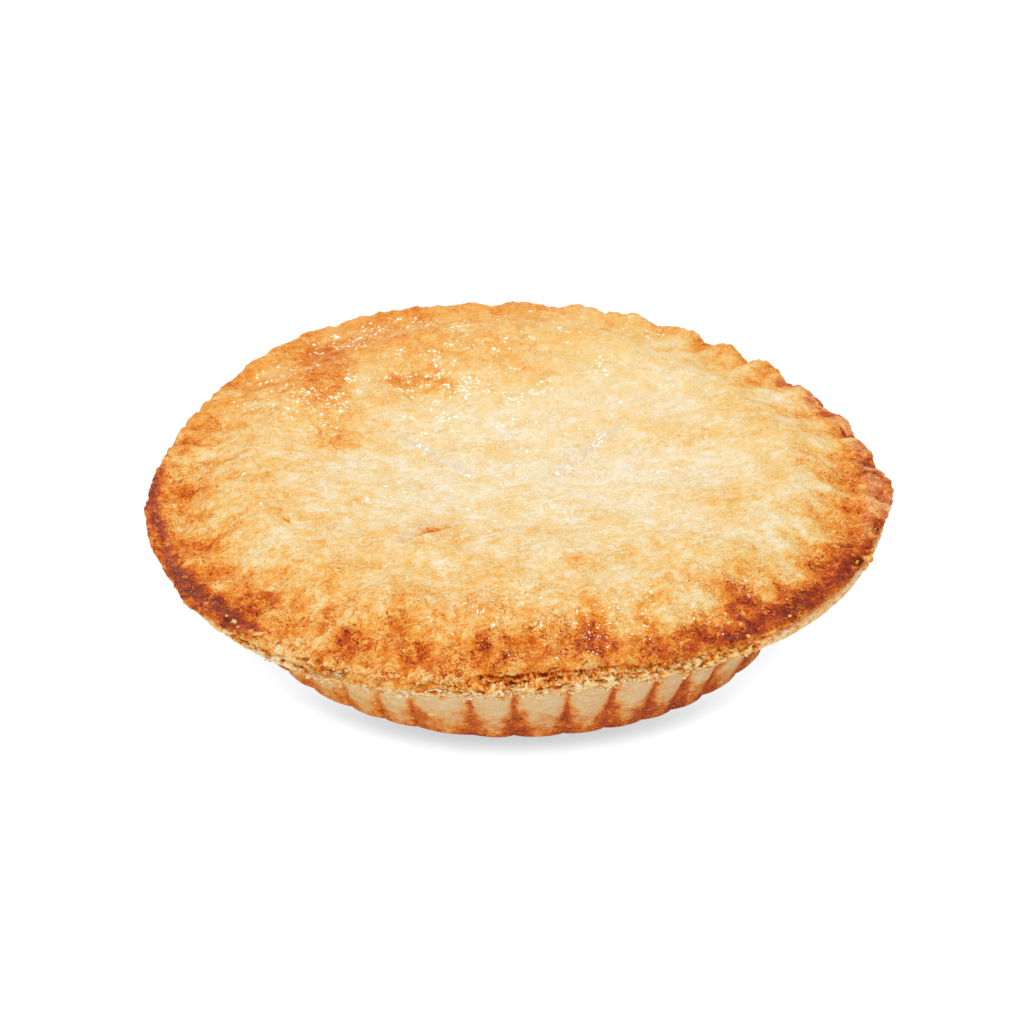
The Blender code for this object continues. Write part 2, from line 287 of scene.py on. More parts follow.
def baked_pastry():
    """The node group that colours all the pastry. The bake is shaken by noises of 9, 3 and 1 mm and
    by streaks along the way it was rolled, more where it is low. Skins of two browns, dark pits,
    pale flecks and torn rims, each a painted shadow beside a painted highlight on its curling edge,
    are added where it is baked, and scattered paler flakes taken off. The colour is looked up in
    the ramp, tinted yellow in places, and mixed with specks and raw dough; the height is the noises
    and the rims; the gloss is in pools."""
    tree = bpy.data.node_groups.new("baked pastry", "ShaderNodeTree")
    levels = (
        ("Bake", 2, 0.3),
        ("Raw", 1, 0),
        ("Glaze", 1, 0),
        ("Mottle", 3, 1),
        ("Specks", 1, 0.3),
    )
    for name, highest, start in levels:
        socket = tree.interface.new_socket(name, in_out="INPUT", socket_type="NodeSocketFloat")
        socket.min_value, socket.max_value, socket.default_value = 0, highest, start
    socket = tree.interface.new_socket("Dough", in_out="INPUT", socket_type="NodeSocketColor")
    socket.default_value = linear(*DOUGH_COLOUR)
    for name, kind in (("Color", "Color"), ("Roughness", "Float"), ("Height", "Float")):
        tree.interface.new_socket(name, in_out="OUTPUT", socket_type=f"NodeSocket{kind}")
    given = tree.nodes.new("NodeGroupInput").outputs
    place = tree.nodes.new("ShaderNodeTexCoord").outputs["Object"]
    turned = {"Vector": place, "Rotation": (0, 0, ROLLED_WAY), "Scale": (3.6, 1, 1)}
    rolled = new_node(tree, "ShaderNodeMapping", turned, vector_type="TEXTURE").outputs[0]

    def noise(scale, detail, roughness, distortion=0.0, where=place):
        """A noise less a half, so that it swings round 0."""
        values = {"Vector": where, "Scale": scale, "Detail": detail}
        values |= {"Roughness": roughness, "Distortion": distortion}
        fac = new_node(tree, "ShaderNodeTexNoise", values).outputs["Fac"]
        return arithmetic(tree, "SUBTRACT", fac, 0.5)

    def step(value, *ends):
        """The value stepped smoothly between its ends."""
        return step_between(tree, value, *ends)

    def scaled(value, factor, plus=0.0):
        """The value times a factor, and something more."""
        return arithmetic(tree, "MULTIPLY_ADD", value, factor, plus)

    def weighted(*pairs):
        """The sum of values, each times its weight."""
        total = 0.0
        for value, weight in pairs:
            total = scaled(value, weight, total)
        return total

    def mixed(share, first, second, way="MIX"):
        """The first colour with this share of the second mixed into it."""
        values = {0: share, 6: first, 7: second}
        kind = {"data_type": "RGBA", "blend_type": way}
        return new_node(tree, "ShaderNodeMix", values, **kind).outputs[2]

    blob, spot = noise(105, 2, 0.5, 0.3), noise(330, 3, 0.62, 0.7)
    streak, fine = noise(900, 3, 0.6, 0.5, rolled), noise(1500, 2, 0.6, 0.2)
    shaken = weighted((blob, 0.6), (spot, 0.75), (streak, 0.6), (fine, 0.85))
    shaken = scaled(shaken, step(shaken, -0.1, 0.25, 1.05, 0.75))
    strength = scaled(scaled(given["Bake"], -0.38, 0.82), given["Mottle"])
    bake = scaled(shaken, strength, given["Bake"])

    skins = step(noise(170, 4, 0.55, 1.2), -0.015, 0.02, -1, 1)
    pits = step(noise(1500, 2, 0.6, 0.4), 0.14, 0.19)
    flecks = step(noise(1150, 2, 0.6, 0.4), 0.13, 0.18)
    # Torn rims: a band of painted shadow beside a band of painted highlight on the curling edge,
    # both also a small step in the height
    rim, torn_here = noise(330, 3, 0.6, 0.8), step(noise(150, 2, 0.5), -0.03, 0.05)
    shadow = scaled(scaled(step(rim, -0.02, 0.0), step(rim, 0.045, 0.02)), torn_here)
    painted_curl_highlight = scaled(scaled(step(rim, 0.02, 0.045), step(rim, 0.11, 0.08)), torn_here)
    crisp = weighted((skins, 0.045), (pits, 0.28), (flecks, -0.24), (shadow, 0.21), (painted_curl_highlight, -0.15))
    crisp_strength = scaled(step(given["Bake"], 0.12, 0.5, 0.2, 1.0), given["Mottle"])
    bake = scaled(crisp, crisp_strength, bake)

    shift = new_node(tree, "ShaderNodeTexNoise", {"Vector": place, "Scale": 500, "Detail": 2})
    shifted = {0: shift.outputs["Color"], 1: (0.004, 0.004, 0.004), 2: place}
    shifted = new_node(tree, "ShaderNodeVectorMath", shifted, operation="MULTIPLY_ADD").outputs[0]
    cells = new_node(tree, "ShaderNodeTexVoronoi", {"Vector": shifted, "Scale": 420}).outputs
    drawn = new_node(tree, "ShaderNodeSeparateColor", {0: cells["Color"]}).outputs[0]
    flake = scaled(step(drawn, 0.74, 0.8), step(cells["Distance"], 0.5, 0.3))
    flake = scaled(flake, scaled(given["Bake"], 0.18, 0.03))
    ramp = new_node(tree, "ShaderNodeValToRGB", {0: arithmetic(tree, "SUBTRACT", bake, flake)})
    stops = ramp.color_ramp.elements
    stops.remove(stops[0])
    for number, (level, seen) in enumerate(BAKE_COLOURS):
        stop = stops[0] if number == 0 else stops.new(level)
        stop.position, stop.color = level, linear(*seen)

    yellower = step(noise(48, 2, 0.5, 0.4), -0.1, 0.12, 0.0, 0.35)
    colour = mixed(yellower, ramp.outputs[0], YELLOW_TINT, "MULTIPLY")
    specks = scaled(step(noise(720, 1, 0.4, 0.2), 0.25, 0.29), given["Specks"])
    colour = mixed(given["Raw"], mixed(specks, colour, linear(*SPECK_COLOUR)), given["Dough"])
    pools = scaled(step(noise(240, 2, 0.5), -0.06, 0.06, 0.1, 0.72), given["Glaze"])
    roughness = scaled(step(spot, -0.15, 0.15, 0.5, 0.72), scaled(pools, -1, 1))
    height = weighted((spot, 0.5), (streak, 0.45), (fine, 0.5), (shadow, -0.07), (painted_curl_highlight, 0.05))
    out = {"Color": colour, "Roughness": roughness, "Height": height}
    new_node(tree, "NodeGroupOutput", out)
    return tree


PASTRY = baked_pastry()


def pastry_material(name, mottle, relief, specks=0.25, dough=DOUGH_COLOUR):
    """Baked pastry with this much mottling (None where the mesh says how much), and grain that
    stands this many metres high."""
    material = bpy.data.materials.new(name)
    material.use_nodes = True
    tree = material.node_tree
    look = new_node(tree, "ShaderNodeGroup", node_tree=PASTRY)
    for socket in ("Bake", "Raw", "Glaze", "Mottle")[: 4 if mottle is None else 3]:
        value = new_node(tree, "ShaderNodeAttribute", attribute_name=socket.lower()).outputs["Fac"]
        tree.links.new(value, look.inputs[socket])
    look.inputs["Mottle"].default_value = 1 if mottle is None else mottle
    look.inputs["Specks"].default_value = specks
    look.inputs["Dough"].default_value = linear(*dough)
    shader = tree.nodes["Principled BSDF"]
    shader.inputs["Specular IOR Level"].default_value = 0.18
    stands = {"Height": look.outputs["Height"], "Strength": 1.0, "Distance": relief}
    bump = new_node(tree, "ShaderNodeBump", stands)
    tree.links.new(look.outputs["Color"], shader.inputs["Base Color"])
    tree.links.new(look.outputs["Roughness"], shader.inputs["Roughness"])
    tree.links.new(bump.outputs[0], shader.inputs["Normal"])
    return material


def bottom_rows():
    """Rings of the bottom crust as radius and height: along the seam, round the flange, down the
    wall, round the foot and under it, in mm until the walk makes them metres."""
    seam, flange = (SEAM_HEIGHT - SEAM_GAP / 2) / MM, FLANGE_THICKNESS / MM
    low = seam - flange
    wall_top = (WALL_TOP_RADIUS / MM, WALL_TOP / MM)
    wall_foot = (FOOT_RADIUS / MM, FOOT_ROUNDING / MM)
    edge = [(96, seam), (112, seam), (113.9, seam - 0.8), (114.3, seam - 1.8), (113.6, low + 0.3)]
    edge += [(112, low), (105, low - 0.8), wall_top]
    runs = (
        ([(24, seam), (96, seam)], 9),
        (edge, 0.72),
        ([wall_top, wall_foot], 0.74),
        ([wall_foot, (88.5, 1), (87.6, 0.3), (85.8, 0)], 0.7),
        ([(85.8, 0), (10, 0)], 15),
    )
    return np.concatenate([walk(corners, step) for corners, step in runs])


def held_back(bake, knee, reach):
    """The bake as it is up to the knee, and from there on the reach times a hyperbolic tangent."""
    return np.where(bake > knee, knee + reach * np.tanh((bake - knee) / reach), bake)


def make_bottom():
    """The bottom crust as rings round Z: radius less a fluted share of the wall, plus the lobes
    of the rim on the flange, with grain on top; each end closes in a pole."""
    columns = COLUMNS_PER_FLUTE * FLUTES
    rows = bottom_rows()
    radius, height, even_angle = swept(rows, columns)
    angle = even_grooves(even_angle)
    flat = polar(radius, angle, height)

    on_flange = smooth_step(WALL_TOP, WALL_TOP + 1.6 * MM, height)
    inner_seam = height > SEAM_HEIGHT - SEAM_GAP
    seam_share = smooth_step(SEAM_HEIGHT - FLANGE_THICKNESS, SEAM_HEIGHT - SEAM_GAP, height)
    edge_share = smooth_step(106 * MM, 113 * MM, radius)
    under_flange = smooth_step(WALL_TOP - 5 * MM, WALL_TOP + 2 * MM, height)

    # The flutes: round scallops between sharp grooves, no two grooves quite as deep
    deepness = np.random.default_rng(21).uniform(0.7, 1.15, FLUTES)
    deepness[SHALLOW_GROOVE] = SHALLOW_SHARE
    phase = even_angle / TURN * FLUTES
    deepness = deepness[np.round(phase).astype(int) % FLUTES]
    across_flute = np.abs(np.sin(math.pi * phase))
    up_the_wall = smooth_step(0, 15 * MM, height)
    depth = FLUTE_DEPTH * (FLUTE_SHARE_AT_FOOT + (1 - FLUTE_SHARE_AT_FOOT) * up_the_wall)
    depth = depth * (1 - 0.8 * under_flange) * smooth_step(80 * MM, 85 * MM, radius)
    on_wall = smooth_step(80 * MM, 87 * MM, radius) * (1 - on_flange)
    coarse = grain(flat, 9 * MM, 1, 2)
    wrinkles = grain(flat * (1, 1, 0.45), 2.2 * MM, 2, 2)
    fluted = radius + depth * (across_flute**0.6 - 1) * deepness * on_wall
    uneven = smooth_step(0, 2 * MM, height) * (0.35 * coarse + 0.2 * wrinkles)
    fluted = fluted + on_wall * (uneven + 0.9 * facing(angle, 306, 30)) * MM

    # The flange: torn in teeth along its lower edge, in thin leaves on its side
    teeth = grain(flat, 2.6 * MM, 3, 2)
    leaves = grain(flat * (1, 1, 3.5), 3.5 * MM, 4, 2)
    rim = outlined(radius, angle) + (0.3 * teeth + 0.3 * leaves - 1.1) * MM * edge_share
    rim = rim - roll(angle) * smooth_step(111 * MM, 114 * MM, radius)
    rim = np.where(inner_seam, drawn_in(rim, angle), rim)
    radius = fluted + (rim - fluted) * on_flange
    lift = (seam_round(radius, angle) - SEAM_HEIGHT) * seam_share
    droop = grain(polar(radius, angle, 0 * height), 3.4 * MM, 5, 2) * edge_share * on_flange
    flat = polar(radius, angle, height)
    ledge = smooth_step(0, 4 * MM, shrink(angle)) * edge_share * seam_share
    ledge = ledge * (0.35 * grain(flat, 1.6 * MM, 6, 2) + 0.3)
    points = polar(radius, angle, height + lift + (0.5 * droop + ledge) * MM)
    points[..., 2] = np.maximum(points[..., 2], 0)

    # Brown in the grooves, in wedges that widen towards the foot, and all along the foot; the core
    # of each groove and the side just past it are darker as painted shade
    paler = facing(angle, 232, 30, 0.3)
    near_groove = 1 - across_flute
    past_groove = (phase + 0.5) % 1 - 0.5
    low = 1 - np.clip(height / WALL_TOP, 0, 1)
    wander = 0.16 * coarse + 0.12 * grain(points, 3 * MM, 8, 3)
    fibres = grain(flat * (1, 1, 2.6), 2.0 * MM, 9, 3)
    wedge = smooth_step(0.48, 1.14, near_groove + 0.66 * low**1.3 + wander + 0.04 * paler)
    wedge = wedge * (0.55 + 0.45 * deepness)
    left_of_groove = smooth_step(0, 0.34, past_groove) * (0.5 - past_groove) * (0.4 + low)
    groove_brown_and_painted_shade = 0.3 * left_of_groove + 0.24 * smooth_step(0.7, 1.0, near_groove)
    wall_bake = 0.22 - 0.08 * paler + 0.34 * wedge * (1 - 0.5 * paler)
    wall_bake = wall_bake + 0.3 * smooth_step(0.4, 0.9, low + 0.7 * wander)
    wall_bake = wall_bake + groove_brown_and_painted_shade * (1 - 0.7 * paler) + 0.1 * wrinkles + 0.16 * fibres
    wall_bake = wall_bake + 0.08 * facing(angle, 297, 18, 0.5) * (wedge + low)
    wall_bake = held_back(wall_bake, 0.6, 0.2)
    raw = 0.54 * (1 - 0.9 * smooth_step(0.3, 0.62, wall_bake)) * (1 - 0.4 * paler) * on_wall
    side_bake = 0.26 + 0.2 * leaves + 0.14 * teeth + 0.12 * facing(angle, 330, 40, 0.5)
    bake = wall_bake + (side_bake - wall_bake) * on_flange
    under = smooth_step(86 * MM, 84 * MM, radius) * (height < 1 * MM)
    bake = bake + (0.42 + 0.12 * coarse - bake) * under

    points = points.reshape(-1, 3)
    first_ring = np.arange(columns)
    last_ring = first_ring + len(points) - columns
    faces = ring_faces(len(rows), columns)
    faces += fan_faces(first_ring[::-1], len(points)) + fan_faces(last_ring, len(points) + 1)
    points = np.concatenate((points, [(0, 0, MIDDLE_SEAM - SEAM_GAP / 2), (0, 0, 0)]))
    return mesh_piece(
        "bottom_crust_baked",
        points,
        faces,
        pastry_material("bottom_pastry", 0.7, 0.35 * MM, 0.6, WALL_DOUGH),
        bake=np.append(bake, (0.2, 0.4)),
        raw=np.append(raw, (0, 0)),
        glaze=np.zeros(len(points)),
    )


bottom = make_bottom()
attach(bottom, "root")
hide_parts("bottom_crust")


# ---------------------------------------------------------------------------------------------
# Lid. A rolled sheet of the same pastry laid over the cherries and pinched to the flange. It
# browned and blistered towards the rim and sank, paler, in the middle, round the vents cut in it.

LID_THICKNESS, THINNEST = 3.4 * MM, 1.2 * MM
GUTTER_WIDTH, GUTTER_DEPTH = 2.2 * MM, 1.4 * MM
CRIMPS, CRIMP_TURN = 36, math.radians(8.7)
CRIMP_OUT, CRIMP_UP, CRIMP_REACH = 1.5 * MM, 1.9 * MM, 10 * MM
FOLD_DEPTH, LIFT = 0.9 * MM, 1.1 * MM
# How wide the drop at a vent's near lip is: in the lid, in the colours and in the finer skins
SOFT_LIP, CRISP_LIP, SKIN_LIP = 1.3 * MM, 0.3 * MM, 0.35 * MM
# The lid's outline, out over its top, round its edge and back in under it: radius in mm, and
# height as a share of the thickness
TOP_RADIUS, TOP_RINGS = 112.6 * MM, 134
EDGE_TURN = ((113.9, 0.93), (114.7, 0.72), (115, 0.5), (114.7, 0.28), (113.9, 0.12))
EDGE_TURN += ((112.4, 0.05), (108, 0.045), (104, 0.044))
UNDERSIDE = ((95, 0.044), (75, 0.044), (50, 0.044), (24, 0.044))
# Where the edge stands out or in: direction, half width, flat share, and how far in mm
BULGES = ((-5, 8, 0, 1.8), (8, 11, 0, -1.6), (217, 10, 0, 1.7), (22, 14, 0, -1), (330, 20, 0.5, -1))
# Directions in degrees, and how far in the gutter runs there in mm
GUTTER_COURSE = (
    (165, 184, 194, 201, 206, 212, 220, 228, 300, 308, 315, 324, 335, 350),
    (1.4, 2.2, 3.8, 5.2, 3.2, 2.4, 3.2, 3.2, 3.0, 2.6, 5.4, 4.4, 2.2, 1.5),
)
# Right end, left end, width of the floor, depth, how far beyond it the pastry is pulled down, how
# far raw dough shows, all in mm, how raw and how brown it is, the raw strip partly painted shade
# next to the lip, and how dark its seam is, a painted shadow beyond the lip
VENTS = (
    ((-12.5, -5), (-35, 18.5), 1.6, 2.2, 9, 9.0, 0.48, 0.0, 0.0),
    ((35, 25), (14, -3.5), 1.4, 1.9, 7, 7.5, 0.46, 0.06, 0.0),
    ((-14.5, -35), (-33, -52), 0.8, 1.2, 10, 14.0, 0.34, 0.12, 0.5),
)
# Browned or pale patches: x and y, half width along x and along y, in mm, and how much
PATCHES = (
    (21, -94, 6, 5, 0.34), (-55, -93, 5, 4, -0.10), (-36, -86, 4, 6, -0.04),
    (-101, 4, 7, 10, -0.12), (-97, 42, 8, 10, -0.06), (66, -72, 6, 6, 0.26),
    (-40, 44, 10, 8, 0.08), (-14, 50, 9, 7, 0.08), (32, -96, 5, 4, 0.10),
    (-6, -101, 8, 5, 0.26), (-10, -95, 4, 5, 0.14), (4, -97, 5, 5, 0.14),
    (-28, -100, 7, 4, 0.20), (-42, -92, 6, 4, 0.20), (-47, -97, 6, 4, 0.18),
    (-36, -74, 6, 3, 0.08), (-57, -86, 6, 6, 0.18), (-71, -76, 7, 4, 0.28),
    (-62, -93, 6, 4, -0.14), (-64, -80, 5, 4, -0.08), (53, -91, 7, 7, 0.34),
    (70, -80, 8, 8, 0.40), (65, -88, 4, 5, 0.20), (74, -73, 3, 5, -0.14),
    (83, -70, 7, 6, 0.36), (88, -68, 7, 5, 0.20), (95, -54, 10, 8, 0.24),
    (100, -36, 7, 8, 0.14), (103, -18, 4, 6, 0.14), (105, 2, 4, 7, 0.04),
    (103, 20, 4, 6, 0.02), (-62, 52, 9, 16, 0.26), (-62, 76, 12, 9, 0.12),
    (-30, 51, 10, 7, 0.26), (6, 56, 8, 5, 0.16), (-20, 72, 34, 11, 0.14),
    (-55, 13, 7, 5, 0.16), (-52, 24, 16, 13, 0.12), (-3, 14, 9, 5, 0.08),
    (-22, -44, 16, 7, 0.10), (10, -38, 14, 7, 0.06), (58, 14, 12, 9, 0.06),
    (60, -22, 12, 6, 0.08), (-98, -24, 8, 10, 0.04), (-99, -41, 5, 6, 0.12),
    (-84, -66, 9, 6, 0.12), (-82, 18, 12, 12, -0.08), (-74, -50, 13, 10, -0.12),
    (38, -86, 9, 8, -0.20), (10, -86, 6, 6, -0.10), (56, -76, 10, 5, -0.12),
    (84, -40, 12, 14, -0.08), (88, -14, 7, 8, -0.08), (24, -68, 10, 6, -0.06),
    (64, 56, 28, 20, -0.10), (-35, 88, 34, 10, 0.05),
)


def flat_points(x, y):
    """Points at this x and y, all at height 0."""
    return np.stack((x, y, 0 * x), axis=-1)


def square_rings(rings):
    """Ring and direction of the points of a square lattice: the ring is the larger of the two
    steps from the middle, and the direction grows evenly along each side of it."""
    steps = np.arange(-rings, rings + 1)
    i, j = np.meshgrid(steps, steps, indexing="ij")
    ring = np.maximum(np.abs(i), np.abs(j))
    share_i, share_j = i / np.maximum(ring, 1), j / np.maximum(ring, 1)
    eighth = math.pi / 4
    angle = np.where(i == -ring, 4 * eighth - eighth * share_j, eighth * share_j)
    angle = np.where(j == -ring, -2 * eighth + eighth * share_i, angle)
    return ring, np.where(j == ring, 2 * eighth - eighth * share_i, angle)


def grid_faces(rows, columns):
    """Quads between the points of a lattice of rows and columns."""
    index = np.arange(rows * columns).reshape(rows, columns)
    quads = np.stack((index[:-1, :-1], index[1:, :-1], index[1:, 1:], index[:-1, 1:]), axis=-1)
    return quads.reshape(-1, 4).tolist()


def crimp_wave(angle):
    """Pinches round the rim: the size of a cosine to the power 0.7 less 0.68, strongest at the
    back right."""
    strength = 0.15 + 0.85 * facing(angle, 45, 75, 0.3)
    return strength * (np.abs(np.cos(CRIMPS / 2 * (angle - CRIMP_TURN))) ** 0.7 - 0.68)


def gutter_course(angle):
    """How far in from the lid's edge the gutter runs, in straight lines between directions."""
    return np.interp(np.degrees(angle) % 360, *GUTTER_COURSE) * MM


def kept_thick(relief):
    """The relief of the lid, softly held back where it would wear the lid too thin."""
    deepest = THINNEST - LID_THICKNESS
    return np.maximum(relief, deepest + 0.2 * (relief - deepest))


def vent_line(vent):
    """The middle of a vent's line, the half of it to the right, and how long that half is."""
    right, left = np.array(vent[:2]) * MM
    half = (right - left) / 2
    return (right + left) / 2, half, np.hypot(*half)


def vent_place(x, y, vent):
    """Distance across a vent's line in metres, away from the near side, and along it from -1 to
    1 at its ends."""
    middle, half, reach = vent_line(vent)
    across = ((y - middle[1]) * half[0] - (x - middle[0]) * half[1]) / reach
    along = ((x - middle[0]) * half[0] + (y - middle[1]) * half[1]) / reach**2
    return across, along


def vent_form(x, y, crisp):
    """Each vent as a lip on the near side, a drop this wide, a narrow floor and a slope back up
    beyond it, along a line that wavers; how much raw dough shows, strongest next to the lip where
    it is partly painted shade, and how brown it is, with a seam of painted shadow just beyond the
    lip; and a bed where a finer skin lies on the lid."""
    waver = 0.7 * MM * grain(flat_points(x, y), 6 * MM, 46, 2)
    relief, raw, brown, bed = (np.zeros_like(x) for _ in range(4))
    for vent in VENTS:
        across, along = vent_place(x, y, vent)
        width, depth, slope, reach = np.array(vent[2:6]) * MM
        here = smooth_step(1, 0.93, np.abs(along)) * smooth_step(-2.6 * MM, -1.4 * MM, across)
        here = here * smooth_step(width + slope + 0.8 * MM, width + slope - 0.4 * MM, across)
        bed = np.maximum(bed, here)
        across = across + waver
        inside = np.clip(1 - along**2, 0, 1) ** 0.5
        drop = smooth_step(-crisp, 0, across)
        sunk = drop * (1 - smooth_step(width * inside, width * inside + slope, across))
        relief += depth * inside * (0.25 * bell(across + 1.4 * MM, 1.3 * MM) - sunk)
        # The raw strip, strongest next to the lip and fading beyond it: raw dough, partly painted
        # shade
        strip = drop * (1 - smooth_step(0.3 * reach * inside, reach * inside + 1e-6, across))
        strip = strip * smooth_step(0, 0.35, inside)
        raw = np.maximum(raw, vent[6] * strip)
        # The seam: painted shadow just beyond the near lip
        seam = vent[8] * drop * bell(np.maximum(across - 1.6 * MM, 0), 3.2 * MM)
        seam = seam * smooth_step(0.8, 0.2, np.abs(along - 0.15))
        brown = np.maximum(brown, np.maximum(seam, vent[7] * strip))
    return relief, raw, brown, bed


def rim_edge(angle):
    """Radius of the rim: a circle plus its lobes."""
    return RIM_RADIUS + rim_lobes(angle)


def baked_band(x, y):
    """How browned the lid is with its distance in from the rim: 1 at the rim and the exponential
    of the distance to the power 1.5 less and less inwards, over a shorter way at the right."""
    radius, angle = np.hypot(x, y), np.arctan2(y, x)
    inset = np.maximum(rim_edge(angle) - radius, 0)
    reach = (50 - 16 * facing(angle, 350, 80)) * MM
    return bell(inset, reach, 1.5), inset


def folds(x, y):
    """Folds that run in from the rim as the lid drew together, -1 to 1: a noise 9 mm wide along
    the rim and 30 mm long across it, gone 40 mm in."""
    radius, angle = np.hypot(x, y), np.arctan2(y, x)
    along_rim = grain(polar(RIM_RADIUS, angle, 0.3 * radius), 9 * MM, 39, 3)
    return along_rim * smooth_step(40 * MM, 12 * MM, rim_edge(angle) - radius)


def lid_relief(x, y):
    """Gutter, crimps and folds on the top of the lid: a bell-shaped groove inside the lip,
    deepest at the sides, the pinches growing towards the edge, and the folds."""
    radius, angle = np.hypot(x, y), np.arctan2(y, x)
    from_rim = radius - rim_edge(angle) + shrink(angle)
    sides = np.maximum(facing(angle, 207, 48, 0.4), facing(angle, 327, 45, 0.4))
    depth = GUTTER_DEPTH * (0.3 + 0.7 * sides - 0.3 * facing(angle, 265, 45, 0.5))
    gutter = depth * bell(from_rim + gutter_course(angle), GUTTER_WIDTH)
    crimps = CRIMP_UP * crimp_wave(angle) * smooth_step(-CRIMP_REACH, -1 * MM, from_rim)
    return crimps - gutter - FOLD_DEPTH * folds(x, y)


def lid_grain(points, band):
    """The fine relief of the lid in metres, and as a number for its browning: swells of 14 mm,
    blisters that are the size of a noise of 6 mm, plates of flaked pastry whose edge is where a
    warped noise passes a whole number, bumps of 8 and 4 mm where it is browned, fewer behind,
    wrinkles along the way it was rolled, and grain. In the number the 8 mm bumps count against, so
    that their hollows brown: painted shade."""
    warp = np.stack([grain(points, 6 * MM, seed, 2) for seed in (31, 32, 33)], axis=-1)

    def warped(far, size, seed, octaves=2):
        """Noise of this size in mm at the points pushed this many mm along the warp."""
        return grain(points + far * MM * warp, size * MM, seed, octaves)

    blisters = np.clip(2 * np.abs(warped(0.8, 6, 35)) - 1, -1, 1) * (0.3 + 0.9 * band)
    part = (2.2 * warped(1.6, 10, 36, 3)) % 1
    plates = (part - smooth_step(0.8, 1.0, part) - 0.4) * (0.3 + 0.7 * band)
    cos, sin = math.cos(ROLLED_WAY), math.sin(ROLLED_WAY)
    turned = points @ np.array([(cos, -sin, 0), (sin, cos, 0), (0, 0, 1)])
    wrinkles = grain(turned * (0.3, 1, 1) + 0.5 * MM * warp, 2.4 * MM, 38, 2)
    rough, swell = warped(0.4, 1.9, 37), grain(points, 14 * MM, 34, 2)
    rugged = band**2 * (1 - 0.6 * facing(np.arctan2(points[..., 1], points[..., 0]), 105, 80, 0.4))
    bumps = warped(0.8, 8, 48) * rugged
    relief = (0.4 + 0.5 * band) * swell + 0.34 * blisters + 0.34 * plates + 1.9 * bumps
    relief = relief + 0.16 * wrinkles + 0.14 * rough * (0.5 + band)
    relief = relief + 0.45 * warped(0.6, 4.2, 29) * rugged
    # The 8 mm bumps count against the browning number: their hollows turn browner, which is painted
    # shade
    return relief * MM, 0.4 * blisters + 0.26 * plates + 0.34 * rough + 0.5 * swell - 0.4 * bumps


def torn_front(angle, inset, flat):
    """Where the lid's rolled edge has lost its brown skin: a bell of directions, as far in as a
    noise of 5 mm says."""
    ragged = 3.2 * MM * grain(flat, 5 * MM, 47, 3)
    return 0.8 * facing(angle, 241, 17, 0.5) * smooth_step(4.6 * MM, 3.4 * MM, inset + ragged)


